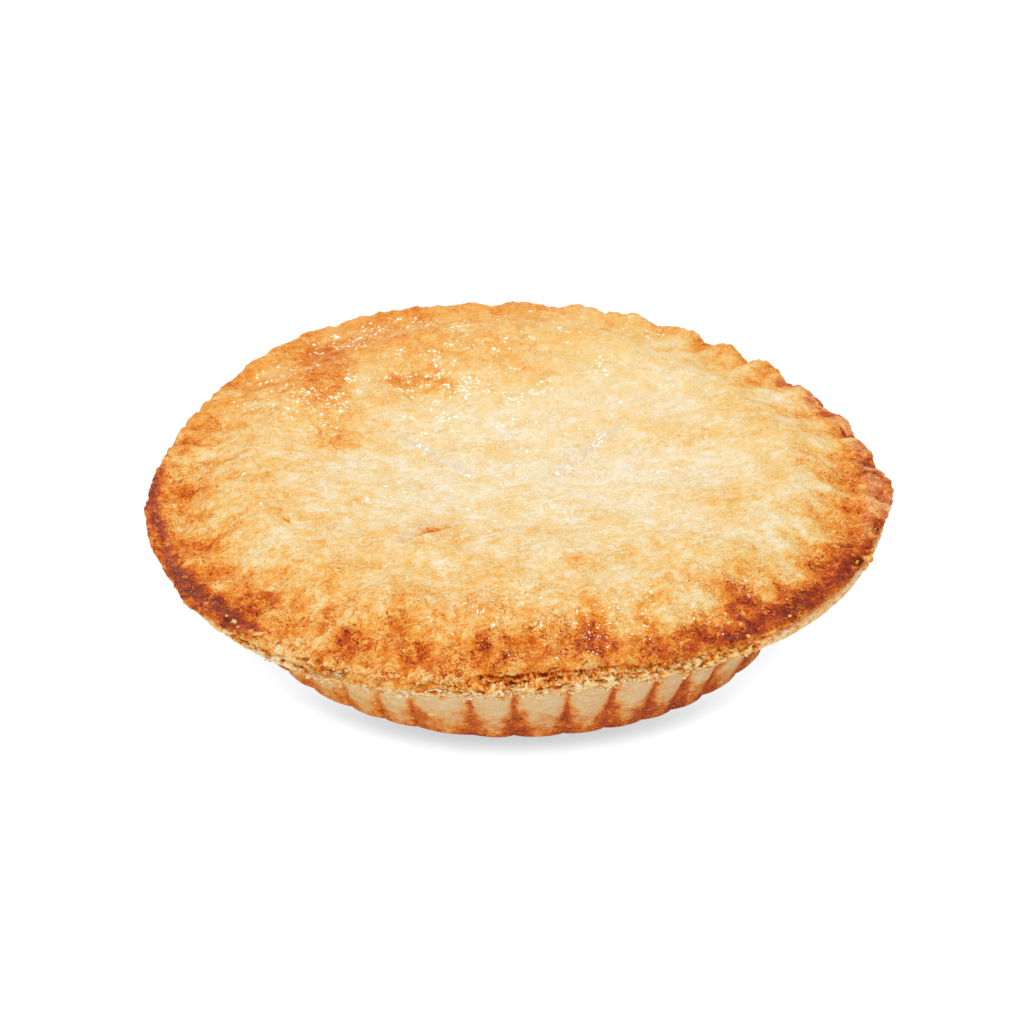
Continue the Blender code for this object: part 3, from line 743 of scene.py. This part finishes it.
def lid_bake(x, y, band, inset, worked):
    """The lid's browning: the band at the rim, more in front, bell-shaped patches whose edges
    wander, the gutter and its lip, with painted shade in the gutter and a dark line of painted
    shade in it, the rim at the right, the hollows between the pinches, the blisters and the bumps,
    whose hollows are browner as painted shade, and the folds, held back at its upper end; and where
    raw dough or purple shows, with the painted shade of the vents' strips and seams."""
    angle, flat = np.arctan2(y, x), flat_points(x, y)
    bake = 0.095 + 0.395 * band + 0.11 * facing(angle, 268, 75, 0.3) * bell(inset, 19 * MM)
    wander = np.stack([grain(flat, 9 * MM, seed, 3) for seed in (51, 52)], axis=-1) * 2.6 * MM
    place, frayed = (flat[..., :2] + wander) / MM, 0.9 * grain(flat, 4.5 * MM, 53, 3)
    for *middle, half_x, half_y, amount in PATCHES:
        away = (((place - middle) / (half_x, half_y)) ** 2).sum(-1)
        bake = bake + amount * np.exp(-0.7 * np.maximum(away + frayed, 0) ** 1.4)

    # The gutter, browner, partly as painted shade, with a dark line of painted shade in it; the
    # slope inside it; and the lip
    ragged = 1.6 * MM * grain(flat, 4 * MM, 49, 2)
    sides = np.maximum(facing(angle, 207, 30, 0.7), facing(angle, 325, 26, 0.5))
    at_left, deep = facing(angle, 208, 44, 0.5), facing(angle, 219, 17, 0.5)
    gutter = inset - shrink(angle) - gutter_course(angle) + 0.4 * ragged
    gutter = gutter / ((1.3 + 0.5 * at_left + 0.9 * deep) * MM)
    painted_gutter_shade_line, gutter = bell(2.6 * gutter + 0.6, 1), bell(gutter, 1)
    patchy = smooth_step(-0.5, 0.3, grain(flat, 3.4 * MM, 54, 2) + 0.5 * deep)
    gutter_bake = (0.02 + 0.37 * sides + (0.27 + 0.16 * deep) * at_left) * gutter
    bake = bake + gutter_bake * (0.2 + 0.8 * patchy)
    bake = bake + 0.18 * painted_gutter_shade_line * np.maximum(sides, at_left) * (0.4 + 0.6 * patchy)
    slopes = np.maximum(at_left, 0.4 * facing(angle, 332, 40, 0.5))
    bake = bake + 0.06 * slopes * smooth_step(24 * MM, 5 * MM, inset + 2 * ragged)
    lip = 0.04 * sides + 0.13 * facing(angle, 193, 26, 0.5) + 0.12 * facing(angle, 322, 24, 0.5)
    bake = bake + lip * smooth_step(5 * MM, 1 * MM, inset)

    # A belt round the rim at the right, and streaks down its flank
    belt = (7 + 8 * facing(angle, -4, 40)) * MM
    belt = smooth_step(belt, belt - 3.5 * MM, inset + 2.2 * ragged) * facing(angle, 12, 52, 0.6)
    flank = smooth_step(8 * MM, 6 * MM, inset + ragged) * facing(angle, 9, 32, 0.5)
    streaks = grain(polar(0.3 * RIM_RADIUS, angle, inset + 0.4 * ragged), 1.5 * MM, 50, 2)
    bake = bake + 0.1 * belt + (0.1 + 0.2 * streaks) * flank - 0.1 * band * facing(angle, 68, 34)

    # Pits between the pinches, blisters and folds, the torn front and the vents
    pits = smooth_step(8 * MM, 4 * MM, inset) * smooth_step(0.05, -0.4, crimp_wave(angle))
    even = 1 - 0.65 * facing(angle, 105, 75, 0.4)
    bake = bake + 0.16 * pits * facing(angle, 30, 62) + 0.2 * worked * (0.25 + 0.8 * band * even)
    bake = held_back(bake + 0.2 * folds(x, y) * even, 0.66, 0.26)
    bake = bake + (0.46 + 0.3 * worked - bake) * torn_front(angle, inset, flat)
    purple = np.maximum(0.16 * flank * smooth_step(0.8, 0.6, bake), 0.04 * at_left * gutter)
    _, raw, brown, _ = vent_form(x, y, CRISP_LIP)
    raw = raw * (1 - smooth_step(0.1, 0.4, brown))
    return bake * (1 - 0.6 * raw) + 0.7 * brown, np.maximum(raw, purple)


def lid_mottle(y):
    """How mottled the lid is: fully in front, an S down to 55 % at the back."""
    return 1 - 0.45 * smooth_step(-20 * MM, 75 * MM, y)


def make_lid():
    """The lid as one square lattice bent round: the inner rings are its top, the next ones turn
    over its edge, the last ones run back under it and close in a pole."""
    share = np.arange(TOP_RINGS + 1) / TOP_RINGS
    turn = np.array(EDGE_TURN + UNDERSIDE)
    ring_radius = np.append(TOP_RADIUS * (1.12 * share - 0.12 * share**2), turn[:, 0] * MM)
    ring_height = np.append(np.ones(TOP_RINGS + 1), turn[:, 1])
    rings = len(ring_radius) - 1
    ring, angle = square_rings(rings)
    radius, height = ring_radius[ring], ring_height[ring] * LID_THICKNESS

    edge_share = smooth_step(109 * MM, 114 * MM, radius) * (ring <= TOP_RINGS + len(EDGE_TURN))
    flat = polar(outlined(radius, angle), angle, height * 2.5)
    teeth = grain(flat * (1, 1, 2), 1.8 * MM, 42, 2)
    ragged = 0.6 * grain(flat, 4.5 * MM, 41, 3) + (0.4 + 0.6 * facing(angle, 0, 40, 0.5)) * teeth
    front = facing(angle, 268, 75, 0.6)
    outward = CRIMP_OUT * crimp_wave(angle) + ragged * (0.7 + 0.8 * front) * MM
    outward = outward + sum(far * facing(angle, *way) for *way, far in BULGES) * MM
    radius = drawn_in(outlined(radius, angle), angle) + outward * edge_share
    top_share = smooth_step(0.1, 0.9, height / LID_THICKNESS)
    low_share = 1 - smooth_step(0.5, 1, height / LID_THICKNESS)
    lift = edge_share * (LIFT * shrink(angle) / SHRINKS[0][2] * low_share - roll(angle))
    flat = polar(radius, angle, 0 * height)
    x, y = flat[..., 0], flat[..., 1]
    band, inset = baked_band(x, y)
    fine, worked = lid_grain(flat, band)
    lip = 0.45 * MM * grain(flat, 5 * MM, 44, 2) * smooth_step(8 * MM, 3 * MM, inset)
    curl = 0.35 * MM * edge_share * grain(flat, 5 * MM, 43, 2) * (1 - 0.5 * top_share)
    vents, _, _, bed = vent_form(x, y, SOFT_LIP)
    relief = kept_thick(lid_relief(x, y) + fine + lip - 0.7 * MM * torn_front(angle, inset, flat))
    relief = (relief + vents - 0.3 * MM * bed) * top_share
    z = seam_height(x, y) + height + lift + curl + relief

    bake, raw = lid_bake(x, y, band, inset, worked)
    side = (1 - top_share) * smooth_step(111 * MM, 113 * MM, ring_radius[ring])
    bake = bake + (0.44 - 0.3 * ragged - bake) * side * (0.45 + 0.4 * front)

    # Egg wash pooled on the front slope and on the slope behind the sunk middle
    behind = bell(x + 22 * MM, 62 * MM, 4) * bell(y - 62 * MM, 38 * MM, 4)
    in_front = facing(angle, 275, 70, 0.5) * smooth_step(46 * MM, 30 * MM, inset)
    glaze = np.maximum(0.25, np.maximum(behind, in_front))

    points = np.stack((x, y, z), axis=-1).reshape(-1, 3)
    index = np.arange(len(points)).reshape(ring.shape)
    border = np.concatenate((index[:-1, 0], index[-1, :-1], index[:0:-1, -1], index[0, :0:-1]))
    return mesh_piece(
        "lid_baked",
        np.concatenate((points, [(0, 0, MIDDLE_SEAM + SEAM_GAP / 2)])),
        grid_faces(*ring.shape) + fan_faces(border, len(points)),
        pastry_material("lid_pastry", None, 0.6 * MM),
        bake=np.append(np.clip(bake, 0, 2), 0.2),
        raw=np.append(raw, 0),
        glaze=np.append(glaze, 0),
        mottle=np.append(lid_mottle(y), 1),
    )


lid = make_lid()
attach(lid, "root")
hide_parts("lid")


def lid_top(x, y, crisp=CRISP_LIP):
    """The height of the lid's surface: the seam, the lid's thickness and its relief."""
    fine, _ = lid_grain(flat_points(x, y), baked_band(x, y)[0])
    relief = kept_thick(lid_relief(x, y) + fine) + vent_form(x, y, crisp)[0]
    return seam_height(x, y) + LID_THICKNESS + relief


def make_vent_skin(number, vent):
    """The lid's surface round a vent on a finer grid, along and across the cut, with a sharper
    lip; it dips into the lid at its four sides."""
    middle, half, reach = vent_line(vent)
    along = np.linspace(-1.08, 1.08, 2 * round(1.08 * reach / (0.28 * MM)) + 1)
    across = np.arange(-3.2 * MM, (vent[2] + vent[4] + 1.6) * MM, 0.24 * MM)
    along, across = np.meshgrid(along, across, indexing="ij")
    x = middle[0] + along * half[0] - across * half[1] / reach
    y = middle[1] + along * half[1] + across * half[0] / reach
    flat = flat_points(x, y)
    band, inset = baked_band(x, y)
    bake, raw = lid_bake(x, y, band, inset, lid_grain(flat, band)[1])
    dip = 0.35 * MM * smooth_step(0.75, 0.2, vent_form(x, y, CRISP_LIP)[3])
    z = lid_top(x, y, SKIN_LIP) - dip + 0.1 * MM * grain(flat, 1.6 * MM, 45, 2) * raw
    return mesh_piece(
        f"vent_skin_{number}",
        np.stack((x, y, z), axis=-1),
        grid_faces(*x.shape),
        lid.data.materials[0],
        bake=np.clip(bake, 0, 2),
        raw=raw,
        glaze=0.5 + 0 * bake,
        mottle=lid_mottle(y),
    )


for number, vent in enumerate(VENTS):
    skin = make_vent_skin(number, vent)
    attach(skin, "root")


# ---------------------------------------------------------------------------------------------
# Pressed edge. Where the lid was pressed on the flange the two sheets baked into one crumbling
# edge: torn leaves with cracks between them, brown partly as painted shade, pale crumbs along its
# lower side.

# The outline, out and up in mm from where the ledge starts on the seam: the side that shows, and
# the way back inside; how far apart its points are, and how many stand round the rim
EDGE_SHOWN = ((0, 0.15), (6, 0.05), (6.8, -0.5), (7.1, -1.6), (6.6, -2.8), (5.2, -3.6))
EDGE_INSIDE = ((5.2, -3.6), (1, -4.2), (-2, -3), (-2, -1), (0, 0.15))
SHOWN_STEP, INSIDE_STEP, EDGE_COLUMNS = 0.36, 1.3, 1800
LEDGE_WIDTH, OUTERMOST = 7.6 * MM, 7.1 * MM


def make_pressed_edge():
    """The flange's skin as a tube round the rim: its outline runs out along the ledge under the
    lid, down the side, back in underneath and up inside. Each point moves along the outline's
    normal by crumbs, a noise of 1.5 mm, and by leaves, a noise drawn out along the rim that cuts a
    deep brown crease wherever it passes -0.12; both are strong in front only. The creases, the
    hollows of the crumbs and the part under the lid are browner: painted shade, in the creases
    partly the brown of the bake."""
    outline = np.concatenate((walk(EDGE_SHOWN, SHOWN_STEP), walk(EDGE_INSIDE, INSIDE_STEP)))
    along = np.roll(outline, -1, axis=0) - np.roll(outline, 1, axis=0)
    along = along / np.linalg.norm(along, axis=1, keepdims=True)
    out, up, angle = swept(outline, EDGE_COLUMNS)
    crumbly, at_left = facing(angle, 266, 52, 0.7), facing(angle, 199, 20, 0.6)
    ledge_start = rim_edge(angle) - LEDGE_WIDTH - 1.2 * shrink(angle)
    edge = rim_edge(angle) - (0.5 + 1.8 * at_left) * MM - roll(angle) * 0.4
    radius = ledge_start + (edge - ledge_start) * out / OUTERMOST

    shown = smooth_step(1 * MM, 4.5 * MM, out)
    crumbs = grain(polar(RIM_RADIUS / 1.5 + out, angle, up), 1.5 * MM, 63, 3)
    drawn_out = polar(RIM_RADIUS / 2.4 + out, angle, up + 0.35 * MM * crumbs)
    leaves = grain(drawn_out * (1, 1, 1.5), 2.4 * MM, 61, 2)
    creases = smooth_step(0.2, 0.02, np.abs(leaves + 0.12)) * smooth_step(-3.4 * MM, -2.6 * MM, up)
    creases = creases * (0.15 + 0.85 * crumbly)
    low = smooth_step(-1.4 * MM, -3.4 * MM, up)
    teeth = grain(polar(RIM_RADIUS, angle, 0 * angle), 5 * MM, 64, 3) * low
    move = (0.3 * leaves + 0.55 * crumbs) * (0.3 + 0.7 * crumbly) - 1.4 * creases + 0.4 * teeth
    move = move * shown * MM
    radius = radius - move * along[:, 1:]
    height = seam_round(radius, angle) + up + move * along[:, :1] + 0.8 * teeth * shown * MM

    # Painted shade: browner in the creases, in the hollows of the crumbs and on the part under the
    # lid
    crack = 1 - smooth_step(3 * MM, 5 * MM, out)
    bake = 0.15 + 0.62 * creases - 0.2 * crumbs + 0.14 * leaves - 0.06 * low + 0.5 * crack
    bake = bake + (0.1 + 0.2 * crumbly) * smooth_step(0, -0.5, crumbs)
    bake = bake + 0.1 * facing(angle, 325, 45, 0.5) + 0.14 * facing(angle, 205, 25, 0.6)
    return mesh_piece(
        "pressed_edge",
        polar(radius, angle, height),
        ring_faces(len(outline), EDGE_COLUMNS, closed_rows=True),
        pastry_material("edge_pastry", 0.8, 0.3 * MM),
        bake=np.clip(bake, 0.14, 1),
        raw=0.16 * (1 - crumbly) * (creases < 0.5) * (1 - 0.6 * at_left),
        glaze=0 * bake,
    )


edge_piece = make_pressed_edge()
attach(edge_piece, "root")


# ---------------------------------------------------------------------------------------------
# Leaves of flaked pastry between the lid and the flange. Where the lid has drawn back from the
# edge in baking, the pastry has come apart in thin torn leaves that stand out of the crack.

# Height over the seam, how far short of the flange's edge, thickness and how far the torn edge
# hangs, all in mm, the direction it shows at and how far round, in degrees, and a seed
LEAVES = (
    (0.4, 0.9, 0.9, 0.9, 268, 48, 66),
    (1.2, 2.6, 0.8, 1.2, 280, 40, 67),
    (2.3, 0.1, 0.8, 2.2, 246, 20, 68),
    (3.0, 1.6, 0.8, 2.0, 246, 20, 69),
)
# A leaf's outline as shares of its way out and of its thickness, how many points stand round it,
# and where it starts inside the pie
LEAF_OUTLINE = ((0, 1), (0.35, 1), (0.7, 1), (0.86, 0.95), (0.96, 0.8), (1, 0.5), (0.96, 0.2))
LEAF_OUTLINE += ((0.86, 0.05), (0.6, 0), (0, 0))
LEAF_COLUMNS, LEAF_START = 2400, 100 * MM


def make_leaf(number, over_seam, short, thickness, hang, middle, half_width, seed):
    """One leaf as rings: a thin closed outline whose outer edge is torn by noises of 6 and 1.3 mm
    and hangs by a noise of 5 mm, swept round the rim; where it doesn't show it stays inside. It is
    browner deep in the crack and in the hollows of a noise of 3 mm, which is painted shade."""
    out, up, angle = swept(np.array(LEAF_OUTLINE), LEAF_COLUMNS)
    around = polar(RIM_RADIUS, angle, 0 * angle)
    torn = 1.9 * grain(around, 6 * MM, seed, 3) + 0.8 * grain(around, 1.3 * MM, seed + 10, 2)
    shown = facing(angle, middle, half_width, 0.6)
    risen = smooth_step(0.3, 0.75, out) * (0.1 + 0.9 * shown)
    open_crack = smooth_step(0.5 * MM, 4 * MM, shrink(angle))
    hidden = short + 2.2 * (1 - shown) + (1 - open_crack) * (over_seam < 2)
    edge = rim_edge(angle) + (torn * (0.25 + 0.75 * shown) - hidden) * MM
    inner = drawn_in(outlined(LEAF_START, angle), angle)
    radius = inner + (edge - inner) * out
    flat = polar(radius, angle, 0 * out)
    granular = grain(flat, 1.2 * MM, seed + 30, 2) * out
    wave = grain(flat, 3 * MM, seed + 20, 2) * out**2 + 1.1 * granular
    hanging = hang * (0.5 + grain(around, 5 * MM, seed + 40, 2)) * out**6
    thin = thickness * (1 - 0.5 * out**2) * (up - 0.5)
    rise = 0.45 + (over_seam - 0.45) * risen - hanging + 0.6 * wave + thin

    bake = 0.52 - 0.1 * smooth_step(0.6, 1, out) - 0.06 * torn + 0.1 * wave - 0.24 * granular
    bake = np.maximum(bake, 0.34) + 0.3 * (1 - out) + 0.1 * facing(angle, 310, 30, 0.5)
    # Browner deep in the crack and in the hollows of the waves: painted shade
    deep_in_painted_shade = open_crack * facing(angle, 265, 23, 0.5) * smooth_step(0.97, 0.87, out)
    bake = bake + 0.4 * deep_in_painted_shade * smooth_step(0.35, -0.25, wave)
    bake = bake + 0.16 * smooth_step(-0.1, -0.7, wave)
    return mesh_piece(
        f"pastry_leaf_{number}",
        polar(radius, angle, seam_round(radius, angle) + rise * MM),
        ring_faces(len(LEAF_OUTLINE), LEAF_COLUMNS, closed_rows=True),
        pastry_material(f"leaf_pastry_{number}", 1.2, 0.3 * MM),
        bake=np.clip(bake, 0, 2),
        raw=0 * bake,
        glaze=0 * bake,
    )


for number, leaf in enumerate(LEAVES):
    piece = make_leaf(number, *leaf)
    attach(piece, "root")


# ---------------------------------------------------------------------------------------------
# Crumbs. Bits of pastry broken off the edge when the pie was turned out: they cling along the
# crack under the lid and the flange, a few lie on the lid and hang on the wall.

CRUMB_TRIES, CRUMB_COUNT = 2800, 700
# Angle in degrees, distance short of the rim, height over the seam and width in mm, and bake
LOOSE_CRUMBS = (
    (315.5, 2.6, 2.9, 2.0, 0.40), (317.0, 2.0, 2.8, 1.6, 0.42), (314.2, 3.0, 2.9, 1.3, 0.38),
    (307.5, 2.2, 2.6, 1.8, 0.42), (336.4, 0.2, 1.8, 3.0, 0.48), (337.6, 0.6, 0.4, 3.2, 0.54),
    (335.4, 0.0, 0.2, 2.4, 0.44), (338.9, 0.4, 1.4, 2.0, 0.58), (337.0, -0.3, 0.9, 1.6, 0.42),
    (225.3, 2.7, 2.6, 1.8, 0.44), (223.4, 2.9, 2.6, 0.9, 0.40), (226.6, 1.9, 2.4, 1.0, 0.46),
    (209.5, 39, 3.6, 2.6, 0.40), (56.5, 1.2, 3.9, 2.4, 0.42), (58.5, 1.4, 3.6, 2.0, 0.40),
    (266.4, 24.6, -31.0, 3.2, 0.26), (265.6, 25.0, -32.4, 2.6, 0.30),
    (254.9, 23.4, -32.0, 2.0, 0.34), (286.4, 23.4, -27.4, 2.0, 0.26),
    (282.4, 25.2, -33.4, 1.8, 0.60),
)


def copied(faces, points, count):
    """The faces of one grain of so many points, once for each of the grains."""
    return (faces + points * np.arange(count)[:, None, None]).reshape(-1, 3).tolist()


def crumb_heap(name, places, widths, bakes, seed, material):
    """Many crumbs in one mesh: each is a ball of twenty faces whose corners lie at random distances
    from its middle, squashed and turned at random, browner underneath as painted shade."""
    random = np.random.default_rng(seed)
    golden = (1 + math.sqrt(5)) / 2
    corners = np.array([(0, a, b * golden) for a in (-1, 1) for b in (-1, 1)], float)
    corners = np.concatenate([np.roll(corners, turn, axis=1) for turn in range(3)])
    corners /= np.linalg.norm(corners[0])
    near = np.linalg.norm(corners[:, None] - corners, axis=-1) < 1.2
    i, j, k = np.nonzero(near[:, :, None] & near[:, None] & near)
    trios = np.stack((i, j, k), axis=-1)[(i < j) & (j < k)]
    inside_out = np.linalg.det(corners[trios]) < 0
    trios[inside_out] = trios[inside_out, ::-1]
    count = len(places)
    stretch = random.uniform(0.55, 1.25, (count, 1, 3))
    rough = random.uniform(0.7, 1.3, (count, 12, 1))
    turns = np.linalg.qr(random.normal(size=(count, 3, 3)))[0]
    turns *= np.sign(np.linalg.det(turns))[:, None, None]
    balls = np.einsum("nij,nkj->nki", turns, corners * stretch * rough) * (1.15, 1.15, 0.7)
    points = places[:, None] + balls * widths[:, None, None] / 2
    # Browner underneath: painted shade
    bakes_with_painted_shade = np.clip(bakes[:, None] - 0.26 * balls[..., 2], 0, 1)
    faces = copied(trios, 12, count)
    return mesh_piece(name, points, faces, material, bake=bakes_with_painted_shade, raw=0 * bakes_with_painted_shade, glaze=0 * bakes_with_painted_shade)


def by_the_rim(angle, short, up):
    """Points this far short of the rim and this far over the seam, both in mm."""
    radius = rim_edge(angle) - short * MM
    return polar(radius, angle, seam_round(radius, angle) + up * MM)


def make_edge_crumbs():
    """Crumbs at random angles, thickest in front, along three lines: under the lid's edge, on
    the side of the flange and along its lower edge; and the loose ones."""
    random = np.random.default_rng(81)
    angle = random.uniform(0, TURN, CRUMB_TRIES)
    chance = 0.003 + 0.997 * facing(angle, 268, 42, 0.6)
    angle = angle[random.uniform(0, 1, CRUMB_TRIES) < chance][:CRUMB_COUNT]
    line = random.choice(3, len(angle), p=(0.35, 0.2, 0.45))
    open_crack = grain(polar(RIM_RADIUS, angle, 0 * angle), 15 * MM, 83, 2) > 0.05
    filled = (line > 0) | ~open_crack
    angle, line = angle[filled], line[filled]
    count = len(angle)
    short = np.choose(line, (1.6, 0.5, 1.6)) + random.normal(0, 0.45, count)
    short = short + np.choose(line, (0.75, 0, 0)) * shrink(angle) / MM
    up = np.choose(line, (0.5, -1.6, -3.5)) + random.normal(0, 0.45, count)
    up = up + np.where(line == 0, 1.8, 0) * facing(angle, 246, 20, 0.6)
    width = np.clip(random.lognormal(-0.1, 0.4, count), 0.45, 2.1)
    bakes = np.clip(random.normal(0.34, 0.12, count), 0.15, 0.7)
    loose_angle, loose_short, loose_up, loose_width, loose_bakes = np.transpose(LOOSE_CRUMBS)
    loose = by_the_rim(np.radians(loose_angle), loose_short, loose_up)
    places = np.concatenate((by_the_rim(angle, short, up), loose))
    width, bakes = np.append(width, loose_width) * MM, np.append(bakes, loose_bakes)
    material = pastry_material("crumb_pastry", 1.1, 0.2 * MM)
    return crumb_heap("crumbs", places, width, bakes, 82, material)


crumbs = make_edge_crumbs()
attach(crumbs, "root")


# ---------------------------------------------------------------------------------------------
# Egg wash. It was brushed on and dried in beads and runs that catch the light, thickest on the
# slope behind the sunk middle and along the front. The beads are painted highlights: nearly white,
# with a painted glow.

WASH_TRIES = 60000
# A bead's foot, shoulder, top and underside: their share of its width, and height over the lid
BEAD_LEVELS = ((1, -0.1 * MM), (0.6, 0.1 * MM), (0, 0.16 * MM), (0, -0.34 * MM))


def painted_glint_material():
    """Dried egg wash painted as glints: nearly white where it beads, with a faint painted glow,
    glossy.
    """
    material = bpy.data.materials.new("egg_wash_painted_glints")
    material.use_nodes = True
    tree = material.node_tree
    place = new_node(tree, "ShaderNodeTexCoord").outputs["Object"]
    shade = new_node(tree, "ShaderNodeTexNoise", {"Vector": place, "Scale": 700, "Detail": 2})
    ramp = new_node(tree, "ShaderNodeValToRGB", {0: shade.outputs["Fac"]})
    # Painted highlight: the beads are cream to nearly white
    dim, bright = ramp.color_ramp.elements
    dim.position, dim.color = 0.35, linear(250, 232, 190)
    bright.position, bright.color = 0.55, linear(255, 254, 250)
    shader = tree.nodes["Principled BSDF"]
    tree.links.new(ramp.outputs[0], shader.inputs["Base Color"])
    rough = step_between(tree, shade.outputs["Fac"], 0.4, 0.6, 0.08, 0.25)
    tree.links.new(rough, shader.inputs["Roughness"])
    shader.inputs["Specular IOR Level"].default_value = 0.6
    # Painted glow: the beads give off light of their own
    shader.inputs["Emission Color"].default_value = (1, 0.97, 0.92, 1)
    shader.inputs["Emission Strength"].default_value = 0.3
    return material


def make_painted_glints():
    """Beads of wash as low caps, which stand as painted glints: rings of six points at the foot and
    the shoulder and a top, drawn out along one way, laid on the lid where two noises are high, in
    the zones behind and in front, thinly in the middle, and beside the vents."""
    random = np.random.default_rng(91)
    radius = 112 * MM * np.sqrt(random.uniform(0, 1, WASH_TRIES))
    angle = random.uniform(0, TURN, WASH_TRIES)
    x, y = radius * np.cos(angle), radius * np.sin(angle)
    _, inset = baked_band(x, y)
    behind = bell(x + 18 * MM, 66 * MM, 4) * bell(y - 62 * MM, 42 * MM, 4)
    front = facing(angle, 285, 42, 0.5) * bell(inset - 20 * MM, 14 * MM)
    middle = 0.3 * bell(x + 10 * MM, 60 * MM) * bell(y + 5 * MM, 60 * MM)
    flat = flat_points(x, y)
    cluster = 0.8 * grain(flat, 14 * MM, 92, 2) + 0.6 * grain(flat, 4 * MM, 93, 1)
    beside_vents = sum(
        bell(across - 2.5 * MM, 1.8 * MM) * (np.abs(along) < 0.9)
        for across, along in (vent_place(x, y, vent) for vent in VENTS[:2])
    )
    zones = np.maximum(np.maximum(behind, 0.9 * front), np.maximum(middle, beside_vents))
    chance = smooth_step(0.1, 1.0, cluster + 0.15 + 0.25 * front + 0.6 * beside_vents) * zones
    keep = (random.uniform(0, 1, WASH_TRIES) < 0.5 * chance) & (inset > 6 * MM)
    x, y = x[keep, None], y[keep, None]
    count, in_front = len(x), y < -40 * MM

    long = np.clip(random.lognormal(-1.05, 0.45, (count, 1)), 0.18, 1.1) * MM
    long = long * np.where(in_front, 0.8, 1)
    slim, stout = random.uniform(0.2, 0.5, (count, 1)), random.uniform(0.45, 1.0, (count, 1))
    heading = random.normal(0.3, 0.7, (count, 1))
    turn, out = np.arange(6) / 6 * TURN, random.uniform(0.75, 1.2, (count, 6))
    along = np.cos(turn) * out * long
    across = np.sin(turn) * out * long * np.where(in_front, slim, stout)
    ring_x = along * np.cos(heading) - across * np.sin(heading)
    ring_y = along * np.sin(heading) + across * np.cos(heading)
    points = []
    for share, over_lid in BEAD_LEVELS:
        level_x, level_y = (x + share * ring_x, y + share * ring_y) if share else (x, y)
        level_z = lid_top(level_x, level_y) + over_lid
        points.append(np.stack((level_x, level_y, level_z), axis=-1))
    side, top, under = np.arange(6), np.full(6, 12), np.full(6, 13)
    after = np.roll(side, -1)
    cap = [(side, after, 6 + after), (side, 6 + after, 6 + side)]
    cap += [(6 + side, 6 + after, top), (after, side, under)]
    faces = copied(np.moveaxis(np.array(cap), -1, 0).reshape(-1, 3), 14, count)
    return mesh_piece("egg_wash_painted_glints", np.concatenate(points, axis=1), faces, painted_glint_material())


glaze = make_painted_glints()
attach(glaze, "root")


# ---------------------------------------------------------------------------------------------
# The table, the light and the camera: a white sweep under a broad soft light from above and
# behind, and the photograph's view from 32 degrees above the table.

TABLE_SIZE = 6.0


def glowing_white():
    """Matt white that lights the pie from below. To the eye it glows, and a painted shadow makes it
    greyer where the foot of the pie, nearer than 12 mm, hides the sky, most of all in front."""
    material = bpy.data.materials.new("white_table")
    material.use_nodes = True
    tree = material.node_tree
    shader = tree.nodes["Principled BSDF"]
    shader.inputs["Base Color"].default_value = (0.86, 0.86, 0.86, 1)
    shader.inputs["Roughness"].default_value = 0.9
    shader.inputs["Specular IOR Level"].default_value = 0.1
    seen = new_node(tree, "ShaderNodeLightPath").outputs["Is Camera Ray"]
    open_sky = new_node(tree, "ShaderNodeAmbientOcclusion", {"Distance": 0.012}, samples=16)
    where = new_node(tree, "ShaderNodeTexCoord").outputs["Object"]
    depth = new_node(tree, "ShaderNodeSeparateXYZ", {0: where}).outputs[1]
    # Painted contact shadow: the glow that the camera sees dims near the pie, most of all in front
    darkest_painted_shadow = step_between(tree, depth, -0.088, -0.055, 0.62, 0.93)
    glow = step_between(tree, open_sky.outputs["AO"], 0.3, 0.92, darkest_painted_shadow, 1.06)
    white = {"Color": (1, 1, 1, 1), "Strength": glow}
    glow = new_node(tree, "ShaderNodeEmission", white).outputs[0]
    both = new_node(tree, "ShaderNodeMixShader", {0: seen, 1: shader.outputs[0], 2: glow})
    tree.links.new(both.outputs[0], tree.nodes["Material Output"].inputs["Surface"])
    return material


half = TABLE_SIZE / 2
table = mesh_piece(
    "table",
    [(-half, -half, 0), (half, -half, 0), (half, half, 0), (-half, half, 0)],
    [(0, 1, 2, 3)],
    glowing_white(),
)

world = bpy.data.worlds.new("white room")
world.use_nodes = True
background = world.node_tree.nodes["Background"]
background.inputs[0].default_value = (1, 1, 1, 1)
background.inputs[1].default_value = 0.7
bpy.context.scene.world = world


def soft_light(name, place, size, power):
    """A square area light that looks at the pie, 30 mm over the middle of the table."""
    data = bpy.data.lights.new(name, "AREA")
    data.size, data.energy = size, power
    light = bpy.data.objects.new(name, data)
    light.location = place
    away = -np.array(place, float) + (0, 0, 0.03)
    light.rotation_euler = (
        math.atan2(math.hypot(away[0], away[1]), -away[2]),
        0,
        math.atan2(away[0], -away[1]) + math.pi,
    )
    bpy.context.scene.collection.objects.link(light)


soft_light("overhead", (-0.08, 0.55, 1.2), 0.3, 5.0)
soft_light("front", (-0.2, -1.4, 0.5), 0.9, 5)

camera_data = bpy.data.cameras.new("camera")
camera_data.sensor_width, camera_data.lens = 36, 99.4
camera_data.shift_x, camera_data.shift_y = -0.0008, 0.0109
camera_data.clip_start = 0.01
camera = bpy.data.objects.new("camera", camera_data)
camera.location = (0, -0.7611, 0.5004)
camera.rotation_euler = (math.radians(90 - 32.26), 0, 0)
bpy.context.scene.collection.objects.link(camera)
bpy.context.scene.camera = camera
bpy.context.scene.view_settings.view_transform = "Standard"
